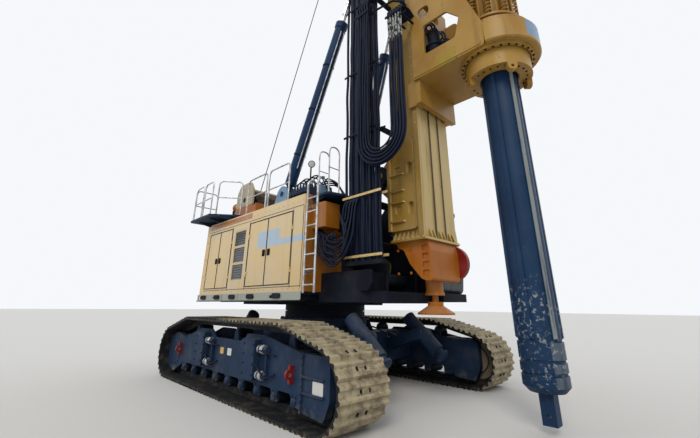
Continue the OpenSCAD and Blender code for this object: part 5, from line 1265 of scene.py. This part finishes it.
# %% [markdown]
# ## Cab fittings
# The cab has a long door handle, a mirror on a bent arm, a wiper across the front
# window and two lamps over it. The handle swings with the door.

# %% Cab fittings
CAB_Y = 1.794
bm = bmesh.new()
plate(bm, facing((1.86, CAB_Y, 2.86), (0, 1, 0)), 0.03, 0.36, 0.012, 0.030, 0.006, 2)
piece("cab_door_handle", bm, dark, "cab_door")
bm = bmesh.new()
sweep(bm, [(1.50, 1.79, 3.50), (1.50, 1.93, 3.52), (1.50, 1.94, 3.10)], 0.012)
plate(bm, facing((1.50, 1.93, 3.16), (-0.9, -0.3, 0)), 0.17, 0.30, 0.04, 0.022, 0.008)
piece("cab_mirror", bm, dark, "upper")
bm = bmesh.new()
sweep(bm, [(2.975, 1.10, 2.42), (2.985, 1.14, 2.75), (2.985, 1.32, 3.30)], 0.007, 6)
sweep(bm, [(2.985, 1.24, 3.02), (2.985, 1.37, 3.46)], 0.010, 6)
piece("wiper", bm, dark, "upper")
bm = bmesh.new()
for y in (0.95, 1.62):
    work_lamp(bm, (2.90, y, 3.84), (1, 0, -0.2), 0.07)
    sweep(bm, [(2.84, y, 3.76), (2.84, y, 3.84)], 0.012)
piece("cab_lamps", bm, dark, "upper")

# %% [markdown]
# ## Operator's seat
# The seat is a fixed shell with three crowned cushions: bottom, back and head
# rest. A cushion is a rounded block that bulges in the middle and draws in
# between its corners, with sewn channels.


# %% Seat cushions
def cushion(bm, place, width, height, thick, crown, channels=()):
    """A crowned pad: a grid on both faces, sides drawn in between the corners."""
    n = 16
    grid = {}
    for face in (0, 1):
        for i in range(n + 1):
            for j in range(n + 1):
                u, v = 2 * i / n - 1, 2 * j / n - 1
                if face == 1 and (i in (0, n) or j in (0, n)):
                    grid[face, i, j] = grid[0, i, j]
                    continue
                x = u * width / 2 * (1 - 0.03 * (1 - v * v) * abs(u) ** 3 - 0.06 * v ** 4 * u * u)
                y = v * height / 2 * (1 - 0.03 * (1 - u * u) * abs(v) ** 3 - 0.06 * u ** 4 * v * v)
                rise = (1 - u ** 6) * (1 - v ** 6)
                z = thick / 2 * rise ** 0.5
                if face == 0:
                    z += crown * (1 - u * u) * (1 - v * v)
                    z -= sum(0.010 * math.exp(-((v - middle) / 0.05) ** 2) * rise for middle in channels)
                grid[face, i, j] = bm.verts.new(place @ Vector((x, y, z if face == 0 else -z)))
    for face in (0, 1):
        for i in range(n):
            for j in range(n):
                corners = [grid[face, i + di, j + dj] for di, dj in ((0, 0), (1, 0), (1, 1), (0, 1))]
                bm.faces.new(corners if face == 0 else corners[::-1])


SEAT_X, SEAT_Y = 1.26, 1.29
seat_low, seat_high = (Vector(v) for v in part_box("cab_seat"))
seat_z = seat_low.z
print("seat", [round(v, 3) for v in (*seat_low, *seat_high)])

# %% [markdown]
# ## Seat, consoles and levers
# Bottom, back and head rest lie on a pedestal between two consoles, each with a
# lever. Pedestal, consoles and levers stand for the plain CAD seat.

# %% Seat, consoles and levers
CUSHIONS = {
    "seat_cushion": (at(SEAT_X + 0.59, SEAT_Y, seat_z + 0.385), 0.50, 0.48, 0.11, 0.02, (-0.35, 0.35)),
    "seat_back": (facing((SEAT_X + 0.335, SEAT_Y, seat_z + 0.66), (0.98, 0, 0.2)), 0.46, 0.46, 0.11, 0.02,
                  (-0.4, 0, 0.4)),
    "head_rest": (facing((SEAT_X + 0.305, SEAT_Y, seat_z + 0.985), (0.99, 0, 0.1)), 0.28, 0.17, 0.09, 0.012),
}
for name, shape in CUSHIONS.items():
    bm = bmesh.new()
    cushion(bm, *shape)
    piece(name, bm, seat_cloth, "upper")
KNOB = [(0.014, 0), (0.024, 0.02), (0.026, 0.07), (0.018, 0.10), (0, 0.105)]
bm = bmesh.new()
plate(bm, at(SEAT_X + 0.60, SEAT_Y, seat_z), 0.34, 0.34, 0.04, 0.33, 0.02)
for y in (SEAT_Y - 0.30, SEAT_Y + 0.30):
    plate(bm, facing((SEAT_X + 0.62, y, seat_z + 0.42), (0, 0, 1)), 0.11, 0.42, 0.03, 0.19, 0.02)
    x, z = SEAT_X + 0.76, seat_z + 0.60
    sweep(bm, [(x, y, z), (x + 0.01, y, z + 0.08)], 0.012)
    turned(bm, at(x + 0.01, y, z + 0.07), KNOB, 14)
piece("seat_frame", bm, dark, "upper", stands_for=("cab_seat",))

# %% [markdown]
# ## Rope swivel
# The hoist rope ends at the top of the kelly in a swivel, so that the kelly's
# turning doesn't twist the rope.

# %% Swivel and the rope down to it
SWIVEL = [(0.10, 0), (0.10, 0.05), (0.07, 0.07), (0.07, 0.20), (0.09, 0.22), (0.09, 0.36), (0.05, 0.42),
          (0.03, 0.55), (0.016, 0.60), (0, 0.60)]
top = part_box("kelly_inner")[1][2]
print("kelly top", round(top, 3))
bm = bmesh.new()
turned(bm, at(KELLY_X, 0, top), SWIVEL, 24)
piece("rope_swivel", bm, dark, "kelly_tube")
bm = bmesh.new()
sweep(bm, [(KELLY_X, 0, top + 0.55), (KELLY_X, 0, HEAD_Z)], ROPE_R)
piece("hoist_rope_front", bm, rope_wire, "mast", "guide")

# %% [markdown]
# ## The ground
# A plain pale floor under the tracks catches the soft shadow. It is part of
# the stage and not of the machine.

# %% Floor
REACH = 150
floor_finish = Finish("pale_floor")
floor_finish.set(base_color=(0.62, 0.61, 0.59), roughness=0.9)
floor_mesh = bpy.data.meshes.new("floor")
corners = [(x * REACH, y * REACH, -0.002) for x, y in ((-1, -1), (1, -1), (1, 1), (-1, 1))]
floor_mesh.from_pydata(corners, [], [(0, 1, 2, 3)])
floor_mesh.materials.append(floor_finish.material)
floor = bpy.data.objects.new("floor", floor_mesh)
bpy.context.scene.collection.objects.link(floor)
print("floor", 2 * REACH, "m square")
